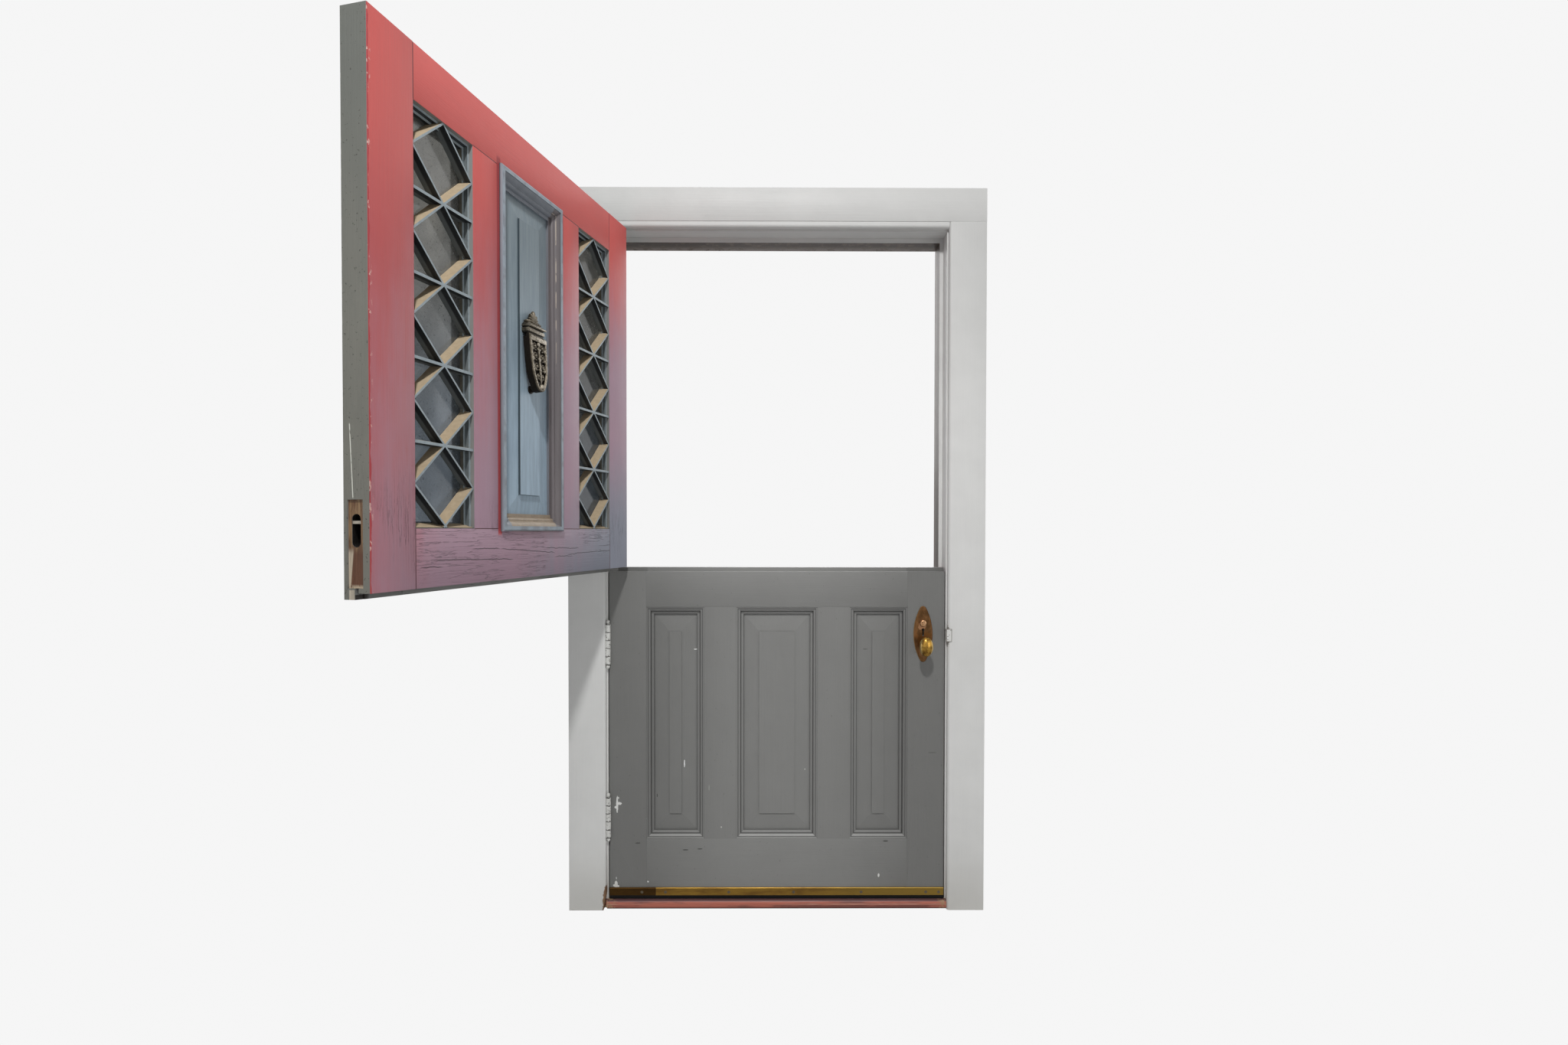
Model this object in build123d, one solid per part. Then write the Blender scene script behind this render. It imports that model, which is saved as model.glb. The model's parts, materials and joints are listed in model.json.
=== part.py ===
"""A stable door with its frame: two leaves hung one above the other on one side of a timber frame.

Millimetres. X runs to the right as seen from indoors, Y runs outdoors, Z is up.
The origin is on the floor, in the middle of the opening, on the plane of the leaves' indoor faces.
The lower leaf is shut and the upper leaf stands open into the room.
"""
import math
import os

from build123d import *

# The two leaves
LEAF_WIDTH = 1067.0
LEAF_THICK = 57.0
LOWER_LEAF_HEIGHT = 1041.0
UPPER_LEAF_HEIGHT = 1068.0
OPEN_ANGLE = 104.0
ARRIS = 1.5

# Gaps round and between the leaves
SIDE_GAP = 3.0
HEAD_GAP = 3.0
SILL_GAP = 5.0
MEETING_GAP = 4.0

# The lap where the leaves meet: an outdoor upstand below, an indoor lip above
UPSTAND_RISE = 12.0
UPSTAND_START = 30.0
LAP_GAP = 3.0

# Framing of both leaves
STILE_WIDTH = 118.0
MULLION_WIDTH = 102.0
CENTRE_OPENING = 259.0
UPPER_TOP_RAIL = 110.0
UPPER_BOTTOM_RAIL = 118.0
LOWER_TOP_RAIL = 113.0
LOWER_BOTTOM_RAIL = 187.0
TENON_LENGTH = 50.0
TENON_THICK = 16.0
TENON_SHOULDER = 12.0
JOINT_SLACK = 0.2

# Raised panels and the mouldings planted round them
GROOVE_DEPTH = 12.0
PANEL_SLACK = 1.5
PANEL_MARGIN_DEPTH = 18.0
FIELD_DEPTH = 8.0
FIELD_STEP = 4.0
MOULDING_WIDTH = 24.0
SIDE_FIELD_WIDTH = 38.0
CENTRE_FIELD_WIDTH = 113.0
LOWER_BEVEL_END = 55.0
UPPER_FIELD_INDOOR = 111.0
UPPER_FIELD_OUTDOOR = 87.0
UPPER_BEVEL_END = 47.0
BOLECTION_LAP = 6.0
BOLECTION_REACH = 36.0
BOLECTION_PROUD = 8.0

# The two lights of the upper leaf
GLASS_THICK = 4.0
GLASS_DEPTH = 28.0
GLASS_SLACK = 1.5
BEAD_STEP = 5.0
BEAD_FIRST_DEPTH = 10.0
BEAD_SECOND_DEPTH = 20.0
LEDGE_RISE = 11.0
INNER_BEAD_WIDTH = 14.0
INNER_BEAD_DEPTH = 3.0
DIAMOND_BAR = 4.0
LEVEL_BAR = 6.0
LATTICE_WASH = 4.5
LATTICE_DEPTH = 3.0
LATTICE_GLASS_GAP = 0.3
LATTICE_BAYS = 5
LATTICE_FOOT = 6.0

# Hinges
AXIS_GAP = 1.5
AXIS_FRONT = 9.5
KNUCKLE_RADIUS = 8.0
KNUCKLE_HEIGHT = 25.4
KNUCKLES = 5
KNUCKLE_SLACK = 0.2
PIN_RADIUS = 3.0
RUNNING_CLEARANCE = 0.05
TIP_HEIGHT = 14.0
PLATE_THICK = 3.0
PLATE_REACH = 48.0
HINGE_SCREWS = 4
LOWER_HINGES = (230.0, 781.0)
UPPER_HINGES = (1246.0, 1842.0)

# Countersunk wood screws
SCREW_RADIUS = 2.3
SCREW_HEAD = 4.6
SCREW_HEAD_DEPTH = 2.4
SCREW_LENGTH = 26.0
SCREW_SLACK = 0.1

# The timber frame
JAMB_THICK = 32.0
JAMB_DEPTH = 136.0
STOP_FRONT = 60.0
STOP_SIDE = 11.0
STOP_HEAD = 14.0
CASING_WIDTH = 117.0
CASING_THICK = 20.0
CASING_REVEAL = 4.0
CASING_ROUND = 9.0
HEAD_CASING = 105.0
HEAD_BAND = 19.0
HEAD_BAND_REVEAL = 5.0
BAND_THICK = 18.0
NOTCH_SLACK = 1.0

# The sill
SILL_TOP = 29.0
SILL_DEPTH = 165.0
SILL_EDGE = 12.0
NOSE_FRONT = 16.0
NOSE_LIFT = 6.0
NOSE_ROUND = 11.0
NOSE_SLACK = 0.5
TOE_FRONT = 8.0

# Brass sweep strip and its rubber seal along the foot of the lower leaf
STRIP_FOOT = 40.0
STRIP_HEIGHT = 25.0
STRIP_THICK = 2.4
STRIP_LIP = 2.0
STRIP_JOINT = -386.0
STRIP_JOINT_GAP = 0.4
STRIP_SCREWS = (-430.0, -355.0, -153.0, 54.0, 270.0, 477.0, 518.0)
STRIP_SCREW_RISE = 10.0
STRIP_SCREW_LENGTH = 16.0
SEAL_THICK = 2.0
SEAL_SILL_GAP = 0.3

# Lock of the lower leaf
BACKSET = 68.5
KNOB_HEIGHT = 844.0
KNOB_WIDE = 43.0
KNOB_TALL = 62.0
KNOB_DEEP = 34.0
KNOB_STAND = 57.0
SHANK_RADIUS = 8.0
SPINDLE = 7.6
HUB_RADIUS = 9.0
TURN_RISE = 67.0
TURN_RADIUS = 11.0
TURN_PROUD = 7.0
TURN_SHAFT = 5.0
KEYHOLE_RISE = 26.0
KEYHOLE_WIDTH = 5.0
KEYHOLE_EYE = 4.5
ESCUTCHEON_BELOW_KNOB = 56.5
ESCUTCHEON_ABOVE_TURN = 54.5
ESCUTCHEON_WIDTH = 61.0
ESCUTCHEON_THICK = 3.0
ESCUTCHEON_TIP = 10.8
CASE_BELOW_KNOB = 55.5
CASE_ABOVE_TURN = 53.5
CASE_DEPTH = 88.0
CASE_THICK = 22.0
CASE_WALL = 2.5
CASE_SLACK = 0.3
FACEPLATE_THICK = 3.0
FACEPLATE_WIDTH = 25.0
FACEPLATE_LAP = 15.0
BOLT_THICK = 13.0
BOLT_HEIGHT = 20.0
BOLT_SLACK = 0.3
LATCH_NOSE = 1.5
LATCH_TRAVEL = 12.0
DEADBOLT_TRAVEL = 20.0
STRIKE_THICK = 2.0
STRIKE_BELOW_KNOB = 32.0
STRIKE_ABOVE_TURN = 37.0
STRIKE_WIDTH = 40.0
STRIKE_START = 8.0
STRIKE_LIP_RISE = 11.0
STRIKE_LIP_HEIGHT = 40.0
STRIKE_LIP_RETURN = 12.0
STRIKE_LIP_GAP = 0.3
POCKET_SLACK = 2.0

# Old lock mortise in the free edge of the upper leaf
RECESS_FOOT = 1100.0
RECESS_HEIGHT = 161.0
RECESS_START = 9.0
RECESS_WIDTH = 33.0
RECESS_DEPTH = 3.0
SLOT_FOOT = 1174.0
SLOT_HEIGHT = 61.0
SLOT_START = 16.0
SLOT_WIDTH = 19.0
SLOT_DEPTH = 60.0
BAR_RISE = 43.0
BAR_HEIGHT = 5.5
BAR_SETBACK = 4.0
BAR_THICK = 6.0
NICK_START = 24.0
NICK_WIDTH = 8.0
NICK_RISE = 9.0
NICK_DEPTH = 20.0

# Knocker on the centre panel of the upper leaf
KNOCKER_FOOT = 1543.0
KNOCKER_HEIGHT = 201.0
KNOCKER_WIDTH = 71.0
CORNICE_FOOT = 1684.0
CORNICE_HEIGHT = 26.0
CORNICE_DEPTH = 25.0
CREST_DEPTH = 17.0
KNOCKER_PIVOT = 1677.0
PIVOT_STAND = 17.0
KNOCKER_PIN = 2.0
PIN_SINK = 0.5
ROLL_RADIUS = 6.0
LUG_PLACE = 17.0
LUG_THICK = 6.0
LUG_RADIUS = 5.5
LUG_SLACK = 0.3
SHIELD_BACK = 14.0
SHIELD_FRONT = 8.0
SHIELD_LEAN = 4.5
SHIELD_TAPER = 15.0
SHIELD_BAR = 8.0
FOLIAGE_SINK = 1.5
FOLIAGE_THICK = 5.0
FOOT_BALL = 9.0
ANVIL_RADIUS = 7.0
ANVIL_RISE = 8.0
STRIKER_GAP = 0.3

# Places that follow from the sizes above
half_leaf = LEAF_WIDTH / 2
turn_height = KNOB_HEIGHT + TURN_RISE
keyhole_foot = KNOB_HEIGHT + KEYHOLE_RISE
strike_foot = KNOB_HEIGHT - STRIKE_BELOW_KNOB
strike_top = turn_height + STRIKE_ABOVE_TURN
lip_strike_foot = KNOB_HEIGHT + STRIKE_LIP_RISE
jamb_face = half_leaf + SIDE_GAP
jamb_back = jamb_face + JAMB_THICK
lower_foot = SILL_TOP + SILL_GAP
lower_top = lower_foot + LOWER_LEAF_HEIGHT
upstand_top = lower_top + UPSTAND_RISE
lip_foot = lower_top + MEETING_GAP
upper_foot = upstand_top + MEETING_GAP
lip_thick = UPSTAND_START - LAP_GAP
upper_top = lip_foot + UPPER_LEAF_HEIGHT
soffit = upper_top + HEAD_GAP
axis_x = -half_leaf - AXIS_GAP
axis_y = -AXIS_FRONT
barrel = KNUCKLES * KNUCKLE_HEIGHT
middle = LEAF_THICK / 2
casing_edge = jamb_face + CASING_REVEAL
casing_outer = casing_edge + CASING_WIDTH
band_foot = soffit + HEAD_BAND_REVEAL
side_casing_top = band_foot + HEAD_BAND
lower_open_foot = lower_foot + LOWER_BOTTOM_RAIL
lower_open_top = lower_top - LOWER_TOP_RAIL
upper_open_foot = upper_foot + UPPER_BOTTOM_RAIL
upper_open_top = upper_top - UPPER_TOP_RAIL
stile_edge = half_leaf - STILE_WIDTH
centre_edge = CENTRE_OPENING / 2
mullion_edge = centre_edge + MULLION_WIDTH
margin_back = LEAF_THICK - PANEL_MARGIN_DEPTH

side_spans = ((-stile_edge, -mullion_edge), (mullion_edge, stile_edge))
centre_span = (-centre_edge, centre_edge)
all_spans = (side_spans[0], centre_span, side_spans[1])


def block(x0, x1, y0, y1, z0, z1):
    """A square-edged block between two corners."""
    centre = Pos((x0 + x1) / 2, (y0 + y1) / 2, (z0 + z1) / 2)
    return centre * Box(x1 - x0, y1 - y0, z1 - z0)


def outline(start, *steps):
    """A closed outline: a pair is the next corner, four numbers are an arc's middle and its end."""
    edges = []
    here = start
    for step in steps:
        if len(step) == 4:
            edges.append(ThreePointArc(here, step[:2], step[2:]))
            here = step[2:]
        else:
            edges.append(Line(here, step))
            here = step
    edges.append(Line(here, start))
    return make_face(edges)


def along_x(face, x0, x1):
    """An outline drawn in Y and Z, run along X."""
    return extrude(Plane.YZ.offset(x0) * face, amount=x1 - x0, dir=(1, 0, 0))


def along_y(face, y0, y1):
    """An outline drawn in X and Z, run along Y."""
    return extrude(Plane.XZ.offset(-y0) * face, amount=y1 - y0, dir=(0, 1, 0))


def along_z(face, z0, z1):
    """An outline drawn in X and Y, run along Z."""
    return extrude(Plane.XY.offset(z0) * face, amount=z1 - z0, dir=(0, 0, 1))


def rod_x(x0, x1, y, z, radius):
    """A round rod lying along X."""
    turned = Pos((x0 + x1) / 2, y, z) * Rot(0, 90, 0)
    return turned * Cylinder(radius, x1 - x0)


def rod_y(x, y0, y1, z, radius):
    """A round rod lying along Y."""
    turned = Pos(x, (y0 + y1) / 2, z) * Rot(90, 0, 0)
    return turned * Cylinder(radius, y1 - y0)


def rod_z(x, y, z0, z1, radius):
    """A round rod standing along Z."""
    return Pos(x, y, (z0 + z1) / 2) * Cylinder(radius, z1 - z0)


def screw(radius_slack, length):
    """A countersunk screw with its head's face at Z 0 and its point downwards."""
    head_top = SCREW_HEAD + radius_slack
    shank = SCREW_RADIUS + radius_slack
    taper = Cone(shank, head_top, SCREW_HEAD_DEPTH, align=(Align.CENTER, Align.CENTER, Align.MAX))
    stem = Cylinder(shank, length, align=(Align.CENTER, Align.CENTER, Align.MAX))
    return taper + stem


def screws_at(places, radius_slack=0.0, length=SCREW_LENGTH):
    """One screw at each place, which gives the head's centre and the turn that aims it."""
    return [place * screw(radius_slack, length) for place in places]


def cut_all(body, tools):
    """A body with each tool taken out of it."""
    for tool in tools:
        body = body - tool
    return body


# The lap gives both leaves a stepped section, the same right across stiles and rails
def rounded_leaf(section, step_y):
    """A leaf's whole outline as one board, its long outer edges eased."""
    board = along_x(section, -half_leaf, half_leaf)
    ends = board.edges().filter_by(Axis.Z)
    eased = [edge for edge in ends if abs(edge.center().Y - step_y) > LAP_GAP + ARRIS]
    return fillet(eased, ARRIS)


lower_section = outline(
    (0, lower_foot),
    (LEAF_THICK, lower_foot),
    (LEAF_THICK, upstand_top),
    (UPSTAND_START, upstand_top),
    (UPSTAND_START, lower_top),
    (0, lower_top),
)
upper_section = outline(
    (0, lip_foot),
    (lip_thick, lip_foot),
    (lip_thick, upper_foot),
    (LEAF_THICK, upper_foot),
    (LEAF_THICK, upper_top),
    (0, upper_top),
)
lower_board = rounded_leaf(lower_section, UPSTAND_START)
upper_board = rounded_leaf(upper_section, lip_thick)


def tenon(x0, x1, z0, z1):
    """A tenon in the middle of the leaf's thickness."""
    return block(x0, x1, middle - TENON_THICK / 2, middle + TENON_THICK / 2, z0, z1)


def mortise(x0, x1, z0, z1):
    """The hole for that tenon, a little larger all round."""
    slack = JOINT_SLACK
    half = TENON_THICK / 2 + slack
    return block(x0 - slack, x1 + slack, middle - half, middle + half, z0 - slack, z1 + slack)


def groove(x0, x1, z0, z1):
    """The groove that takes a panel's edges, cut round an opening as one slab."""
    deep = GROOVE_DEPTH
    return block(
        x0 - deep,
        x1 + deep,
        PANEL_MARGIN_DEPTH - JOINT_SLACK,
        margin_back + JOINT_SLACK,
        z0 - deep,
        z1 + deep,
    )


def leaf_frame(board, foot, top, open_foot, open_top, grooved):
    """Stiles, rails and mullions of one leaf, with their tenons, mortises and panel grooves."""
    low, high = foot - UPSTAND_RISE, top + UPSTAND_RISE
    deep = LEAF_THICK
    rail_tenons = {
        "bottom": (foot + UPSTAND_RISE + TENON_SHOULDER, open_foot - TENON_SHOULDER),
        "top": (open_top + TENON_SHOULDER, top - TENON_SHOULDER),
    }
    slabs = [groove(x0, x1, open_foot, open_top) for x0, x1 in grooved]
    pieces = {}
    for name, side in (("hinge_stile", -1), ("lock_stile", 1)):
        x0, x1 = sorted((side * stile_edge, side * half_leaf))
        stile = board & block(x0, x1, 0, deep, low, high)
        m0, m1 = sorted((side * stile_edge, side * (stile_edge + TENON_LENGTH)))
        holes = [mortise(m0, m1, z0, z1) for z0, z1 in rail_tenons.values()]
        pieces[name] = cut_all(stile, holes + slabs)
    stub = TENON_LENGTH
    mullion_tenons = []
    for side in (-1, 1):
        x0, x1 = sorted((side * centre_edge, side * mullion_edge))
        span = (x0 + TENON_SHOULDER, x1 - TENON_SHOULDER)
        mullion_tenons.append((span, (open_foot - stub, open_foot)))
        mullion_tenons.append((span, (open_top, open_top + stub)))
    rails = {"bottom_rail": (low, open_foot, "bottom"), "top_rail": (open_top, high, "top")}
    for name, (z0, z1, key) in rails.items():
        rail = board & block(-stile_edge, stile_edge, 0, deep, z0, z1)
        t0, t1 = rail_tenons[key]
        for side in (-1, 1):
            m0, m1 = sorted((side * stile_edge, side * (stile_edge + TENON_LENGTH)))
            rail = rail + tenon(m0, m1, t0, t1)
        holes = [mortise(*span, *run) for span, run in mullion_tenons if z0 < sum(run) / 2 < z1]
        pieces[name] = cut_all(rail, holes + slabs)
    for number, side in (("hinge", -1), ("lock", 1)):
        x0, x1 = sorted((side * centre_edge, side * mullion_edge))
        mullion = block(x0, x1, 0, deep, open_foot, open_top)
        mullion = cut_all(mullion, slabs)
        for z0, z1 in ((open_foot - stub, open_foot), (open_top, open_top + stub)):
            mullion = mullion + tenon(x0 + TENON_SHOULDER, x1 - TENON_SHOULDER, z0, z1)
        pieces["mullion_" + number + "_side"] = mullion
    return pieces


def raised_side(x0, x1, z0, z1, inset, field_width, bevel_z, face, inward):
    """One face of a raised panel: four bevels rising from the margin to a stepped field."""
    bevel_x = (x1 - x0 - field_width) / 2 - inset
    root = face + inward * middle
    edge = face + inward * PANEL_MARGIN_DEPTH
    crest = face + inward * (FIELD_DEPTH + FIELD_STEP)
    field = face + inward * FIELD_DEPTH
    across = outline(
        (x0 + inset, root),
        (x0 + inset, edge),
        (x0 + inset + bevel_x, crest),
        (x1 - inset - bevel_x, crest),
        (x1 - inset, edge),
        (x1 - inset, root),
    )
    upright = outline(
        (root, z0 + inset),
        (edge, z0 + inset),
        (crest, z0 + inset + bevel_z),
        (crest, z1 - inset - bevel_z),
        (edge, z1 - inset),
        (root, z1 - inset),
    )
    slopes = along_z(across, z0 + inset, z1 - inset) & along_x(upright, x0 + inset, x1 - inset)
    y0, y1 = sorted((field, root))
    raised = block(
        x0 + inset + bevel_x,
        x1 - inset - bevel_x,
        y0,
        y1,
        z0 + inset + bevel_z,
        z1 - inset - bevel_z,
    )
    return slopes + raised


def raised_panel(span, z0, z1, indoor, outdoor):
    """A solid panel with raised fields on both faces and its edges ready for the grooves."""
    x0, x1 = span
    tongue = GROOVE_DEPTH - PANEL_SLACK
    panel = block(
        x0 - tongue, x1 + tongue, PANEL_MARGIN_DEPTH, margin_back, z0 - tongue, z1 + tongue
    )
    panel = panel + raised_side(x0, x1, z0, z1, *indoor, 0, 1)
    return panel + raised_side(x0, x1, z0, z1, *outdoor, LEAF_THICK, -1)


def mitred_sticks(span, z0, z1, section, reach, lap, face, outward):
    """Four sticks of one moulding round an opening, mitred at the corners.

    The section is drawn with its first axis into the opening and its second out of the leaf.
    """
    x0, x1 = span
    far = LEAF_WIDTH
    sides = (
        ((x0, face, z0 - lap), (1, 0, 0), (0, 0, 1), z1 - z0 + 2 * lap),
        ((x1, face, z0 - lap), (-1, 0, 0), (0, 0, 1), z1 - z0 + 2 * lap),
        ((x0 - lap, face, z0), (0, 0, 1), (1, 0, 0), x1 - x0 + 2 * lap),
        ((x0 - lap, face, z1), (0, 0, -1), (1, 0, 0), x1 - x0 + 2 * lap),
    )
    corners = (
        ((x0 - lap, z0 - lap), (x0 + reach, z0 + reach), (x0 + reach, z1 - reach), (x0 - lap, z1 + lap)),
        ((x1 + lap, z0 - lap), (x1 - reach, z0 + reach), (x1 - reach, z1 - reach), (x1 + lap, z1 + lap)),
        ((x0 - lap, z0 - lap), (x0 + reach, z0 + reach), (x1 - reach, z0 + reach), (x1 + lap, z0 - lap)),
        ((x0 - lap, z1 + lap), (x0 + reach, z1 - reach), (x1 - reach, z1 - reach), (x1 + lap, z1 + lap)),
    )
    sticks = []
    for (origin, into, run, length), corner in zip(sides, corners):
        normal = Vector(*into).cross(Vector(0, outward, 0))
        plane = Plane(origin=origin, x_dir=into, z_dir=normal)
        stick = extrude(plane * section, amount=length, dir=run)
        mitre = along_y(outline(*corner), -far, far)
        sticks.append(stick & mitre)
    return sticks


def planted_section():
    """A stepped ovolo that sits on the panel's margin, below the face of the frame."""
    fillet_edge, bead_end = 5.0, 14.0
    sink, drop, edge = 2.5, 11.0, 13.0
    bulge = (bead_end - 2.2, -sink - 2.8)
    return outline(
        (0, -PANEL_MARGIN_DEPTH),
        (0, -sink),
        (fillet_edge, -sink),
        (*bulge, bead_end, -drop),
        (bead_end, -edge),
        (MOULDING_WIDTH, -edge),
        (MOULDING_WIDTH, -PANEL_MARGIN_DEPTH),
    )


def bolection_section():
    """The bold moulding that laps over the frame round the upper leaf's panel."""
    lap, reach, proud = BOLECTION_LAP, BOLECTION_REACH, BOLECTION_PROUD
    back = -PANEL_MARGIN_DEPTH
    return outline(
        (-lap, 0),
        (-lap, proud - 3),
        (-lap + 2, proud - 0.6, -lap + 6, proud),
        (6, proud),
        (6, proud - 2),
        (13, proud - 5, 19, proud - 12),
        (22, proud - 12),
        (26, proud - 15, 27, proud - 20),
        (reach, proud - 20),
        (reach, back),
        (0, back),
        (0, 0),
    )


def light_step_section():
    """Two square steps outside the glass, on the sides and head of a light."""
    return outline(
        (0, -GLASS_DEPTH),
        (0, -BEAD_FIRST_DEPTH),
        (BEAD_STEP, -BEAD_FIRST_DEPTH),
        (BEAD_STEP, -BEAD_SECOND_DEPTH),
        (2 * BEAD_STEP, -BEAD_SECOND_DEPTH),
        (2 * BEAD_STEP, -GLASS_DEPTH),
    )


def inner_bead_section():
    """The bead that holds the glass from indoors."""
    width, sink = INNER_BEAD_WIDTH, INNER_BEAD_DEPTH
    back = -(LEAF_THICK - GLASS_DEPTH - GLASS_THICK)
    return outline(
        (0, back),
        (0, -sink),
        (4, -sink),
        (width - 3, -sink - 4, width, -sink - 12),
        (width, back),
    )


def ledge_section():
    """The splayed ledge along the foot of a light."""
    return outline((0, -GLASS_DEPTH), (0, -1), (1, -1), (LEDGE_RISE, -GLASS_DEPTH))


def light_surround(span):
    """The outdoor steps of a light on its sides and head, and its splayed ledge."""
    z0, z1 = upper_open_foot, upper_open_top
    corner = Plane(origin=(span[0], LEAF_THICK, z0), x_dir=(0, 0, 1), z_dir=(-1, 0, 0))
    ledge = extrude(corner * ledge_section(), amount=span[1] - span[0], dir=(1, 0, 0))
    steps = mitred_sticks(span, z0, z1, light_step_section(), 2 * BEAD_STEP, 0, LEAF_THICK, 1)
    left, right, _, head = steps
    return [left - ledge, right - ledge, head, ledge]


def lattice_bar(length, depth, front):
    """A bar with a plain under side and an upper side that slopes up to the glass, round the origin."""
    y1 = depth / 2
    half = front / 2
    section = outline((-y1, -half), (y1, -half), (y1, half), (-y1, half + LATTICE_WASH))
    return along_x(section, -length / 2, length / 2)


def lattice(span):
    """Crossed bars in front of the glass: a diamond in each bay and a level bar between bays."""
    x0, x1 = span
    centre = (x0 + x1) / 2
    z0, z1 = upper_open_foot + LATTICE_FOOT, upper_open_top
    y1 = LEAF_THICK - LATTICE_DEPTH
    y0 = LEAF_THICK - GLASS_DEPTH + LATTICE_GLASS_GAP
    bay = (z1 - z0) / LATTICE_BAYS
    half_width = (x1 - x0) / 2
    length = math.hypot(half_width, bay / 2)
    tilt = math.degrees(math.atan2(bay / 2, half_width))
    bars = []
    for number in range(LATTICE_BAYS):
        mid = z0 + bay * (number + 0.5)
        for side in (-1, 1):
            for rise in (-1, 1):
                place = Pos(centre + side * half_width / 2, (y0 + y1) / 2, mid + rise * bay / 4)
                turn = Rot(0, side * rise * tilt, 0)
                bars.append(place * turn * lattice_bar(length + 2 * LEVEL_BAR, y1 - y0, DIAMOND_BAR))
    for number in range(1, LATTICE_BAYS):
        place = Pos(centre, (y0 + y1) / 2, z0 + bay * number)
        bars.append(place * lattice_bar(x1 - x0, y1 - y0, LEVEL_BAR))
    grille = bars[0]
    for bar in bars[1:]:
        grille = grille + bar
    inside = block(x0, x1, y0, y1, upper_open_foot, upper_open_top)
    return grille & inside


def knuckle_bands(foot):
    """The height of each knuckle of a hinge, from the bottom."""
    return [(foot + n * KNUCKLE_HEIGHT, foot + (n + 1) * KNUCKLE_HEIGHT) for n in range(KNUCKLES)]


def hinge_plate(foot, door_side):
    """One plate of a butt hinge with its own knuckles, clear of the other plate's."""
    gap = AXIS_GAP
    if door_side:
        x0, x1 = axis_x + gap, axis_x + gap + PLATE_THICK
    else:
        x0, x1 = axis_x - gap - PLATE_THICK, axis_x - gap
    plate = block(x0, x1, axis_y, PLATE_REACH, foot, foot + barrel)
    for number, (z0, z1) in enumerate(knuckle_bands(foot)):
        own = (number % 2 == 1) == door_side
        if own:
            plate = plate + rod_z(axis_x, axis_y, z0 + KNUCKLE_SLACK, z1 - KNUCKLE_SLACK, KNUCKLE_RADIUS)
        else:
            room = KNUCKLE_RADIUS + KNUCKLE_SLACK
            plate = plate - rod_z(axis_x, axis_y, z0 - KNUCKLE_SLACK, z1 + KNUCKLE_SLACK, room)
    bore = rod_z(axis_x, axis_y, foot - 1, foot + barrel + 1, PIN_RADIUS + RUNNING_CLEARANCE)
    return cut_all(plate - bore, screws_at(hinge_screw_places(foot, door_side), SCREW_SLACK))


def hinge_screw_places(foot, door_side):
    """Screw heads flush in a plate, in two staggered rows."""
    places = []
    for number in range(HINGE_SCREWS):
        z = foot + barrel * (number + 0.5) / HINGE_SCREWS
        y = PLATE_REACH * (0.35 if number % 2 else 0.72)
        if door_side:
            places.append(Pos(-half_leaf, y, z) * Rot(0, -90, 0))
        else:
            places.append(Pos(-jamb_face, y, z) * Rot(0, 90, 0))
    return places


def plate_recess(foot, door_side):
    """The shallow housing in the wood that takes a plate flush."""
    if door_side:
        return block(-half_leaf - 1, axis_x + AXIS_GAP + PLATE_THICK, -1, PLATE_REACH, foot, foot + barrel)
    return block(axis_x - AXIS_GAP - PLATE_THICK, -jamb_face + 1, -1, PLATE_REACH, foot, foot + barrel)


def hinge_pin(foot):
    """A loose pin with a turned ball tip at each end."""
    top = foot + barrel
    neck = 2.0
    pin = rod_z(axis_x, axis_y, foot - neck, top + neck, PIN_RADIUS)
    for z, way in ((foot, -1), (top, 1)):
        collar = sorted((z + way * 0.3, z + way * (0.3 + neck)))
        pin = pin + rod_z(axis_x, axis_y, *collar, KNUCKLE_RADIUS * 0.8)
        ball = TIP_HEIGHT / 2 - neck / 2
        pin = pin + Pos(axis_x, axis_y, z + way * (TIP_HEIGHT - ball)) * Sphere(ball)
    return pin


def fit_hinges(stile, feet):
    """A hinge stile housed for its plates and drilled for their screws."""
    for foot in feet:
        stile = stile - plate_recess(foot, True)
        stile = cut_all(stile, screws_at(hinge_screw_places(foot, True), SCREW_SLACK))
    return stile


# The sill, weathered to fall outdoors, with a rounded nosing between the casings
def make_sill():
    slope = outline(
        (0, 0),
        (SILL_DEPTH, 0),
        (SILL_DEPTH, SILL_EDGE),
        (LEAF_THICK + SILL_GAP, SILL_TOP),
        (0, SILL_TOP),
    )
    body = along_x(slope, -jamb_back, jamb_back)
    nose_half = casing_edge - NOSE_SLACK
    low = NOSE_LIFT
    bend = NOSE_ROUND * (1 - math.sqrt(0.5))
    nose = outline(
        (1, 0),
        (1, SILL_TOP),
        (-NOSE_FRONT + NOSE_ROUND, SILL_TOP),
        (-NOSE_FRONT + bend, SILL_TOP - bend, -NOSE_FRONT, SILL_TOP - NOSE_ROUND),
        (-NOSE_FRONT, low),
        (-TOE_FRONT, low),
        (-TOE_FRONT, 0),
    )
    return body + along_x(nose, -nose_half, nose_half)


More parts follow.
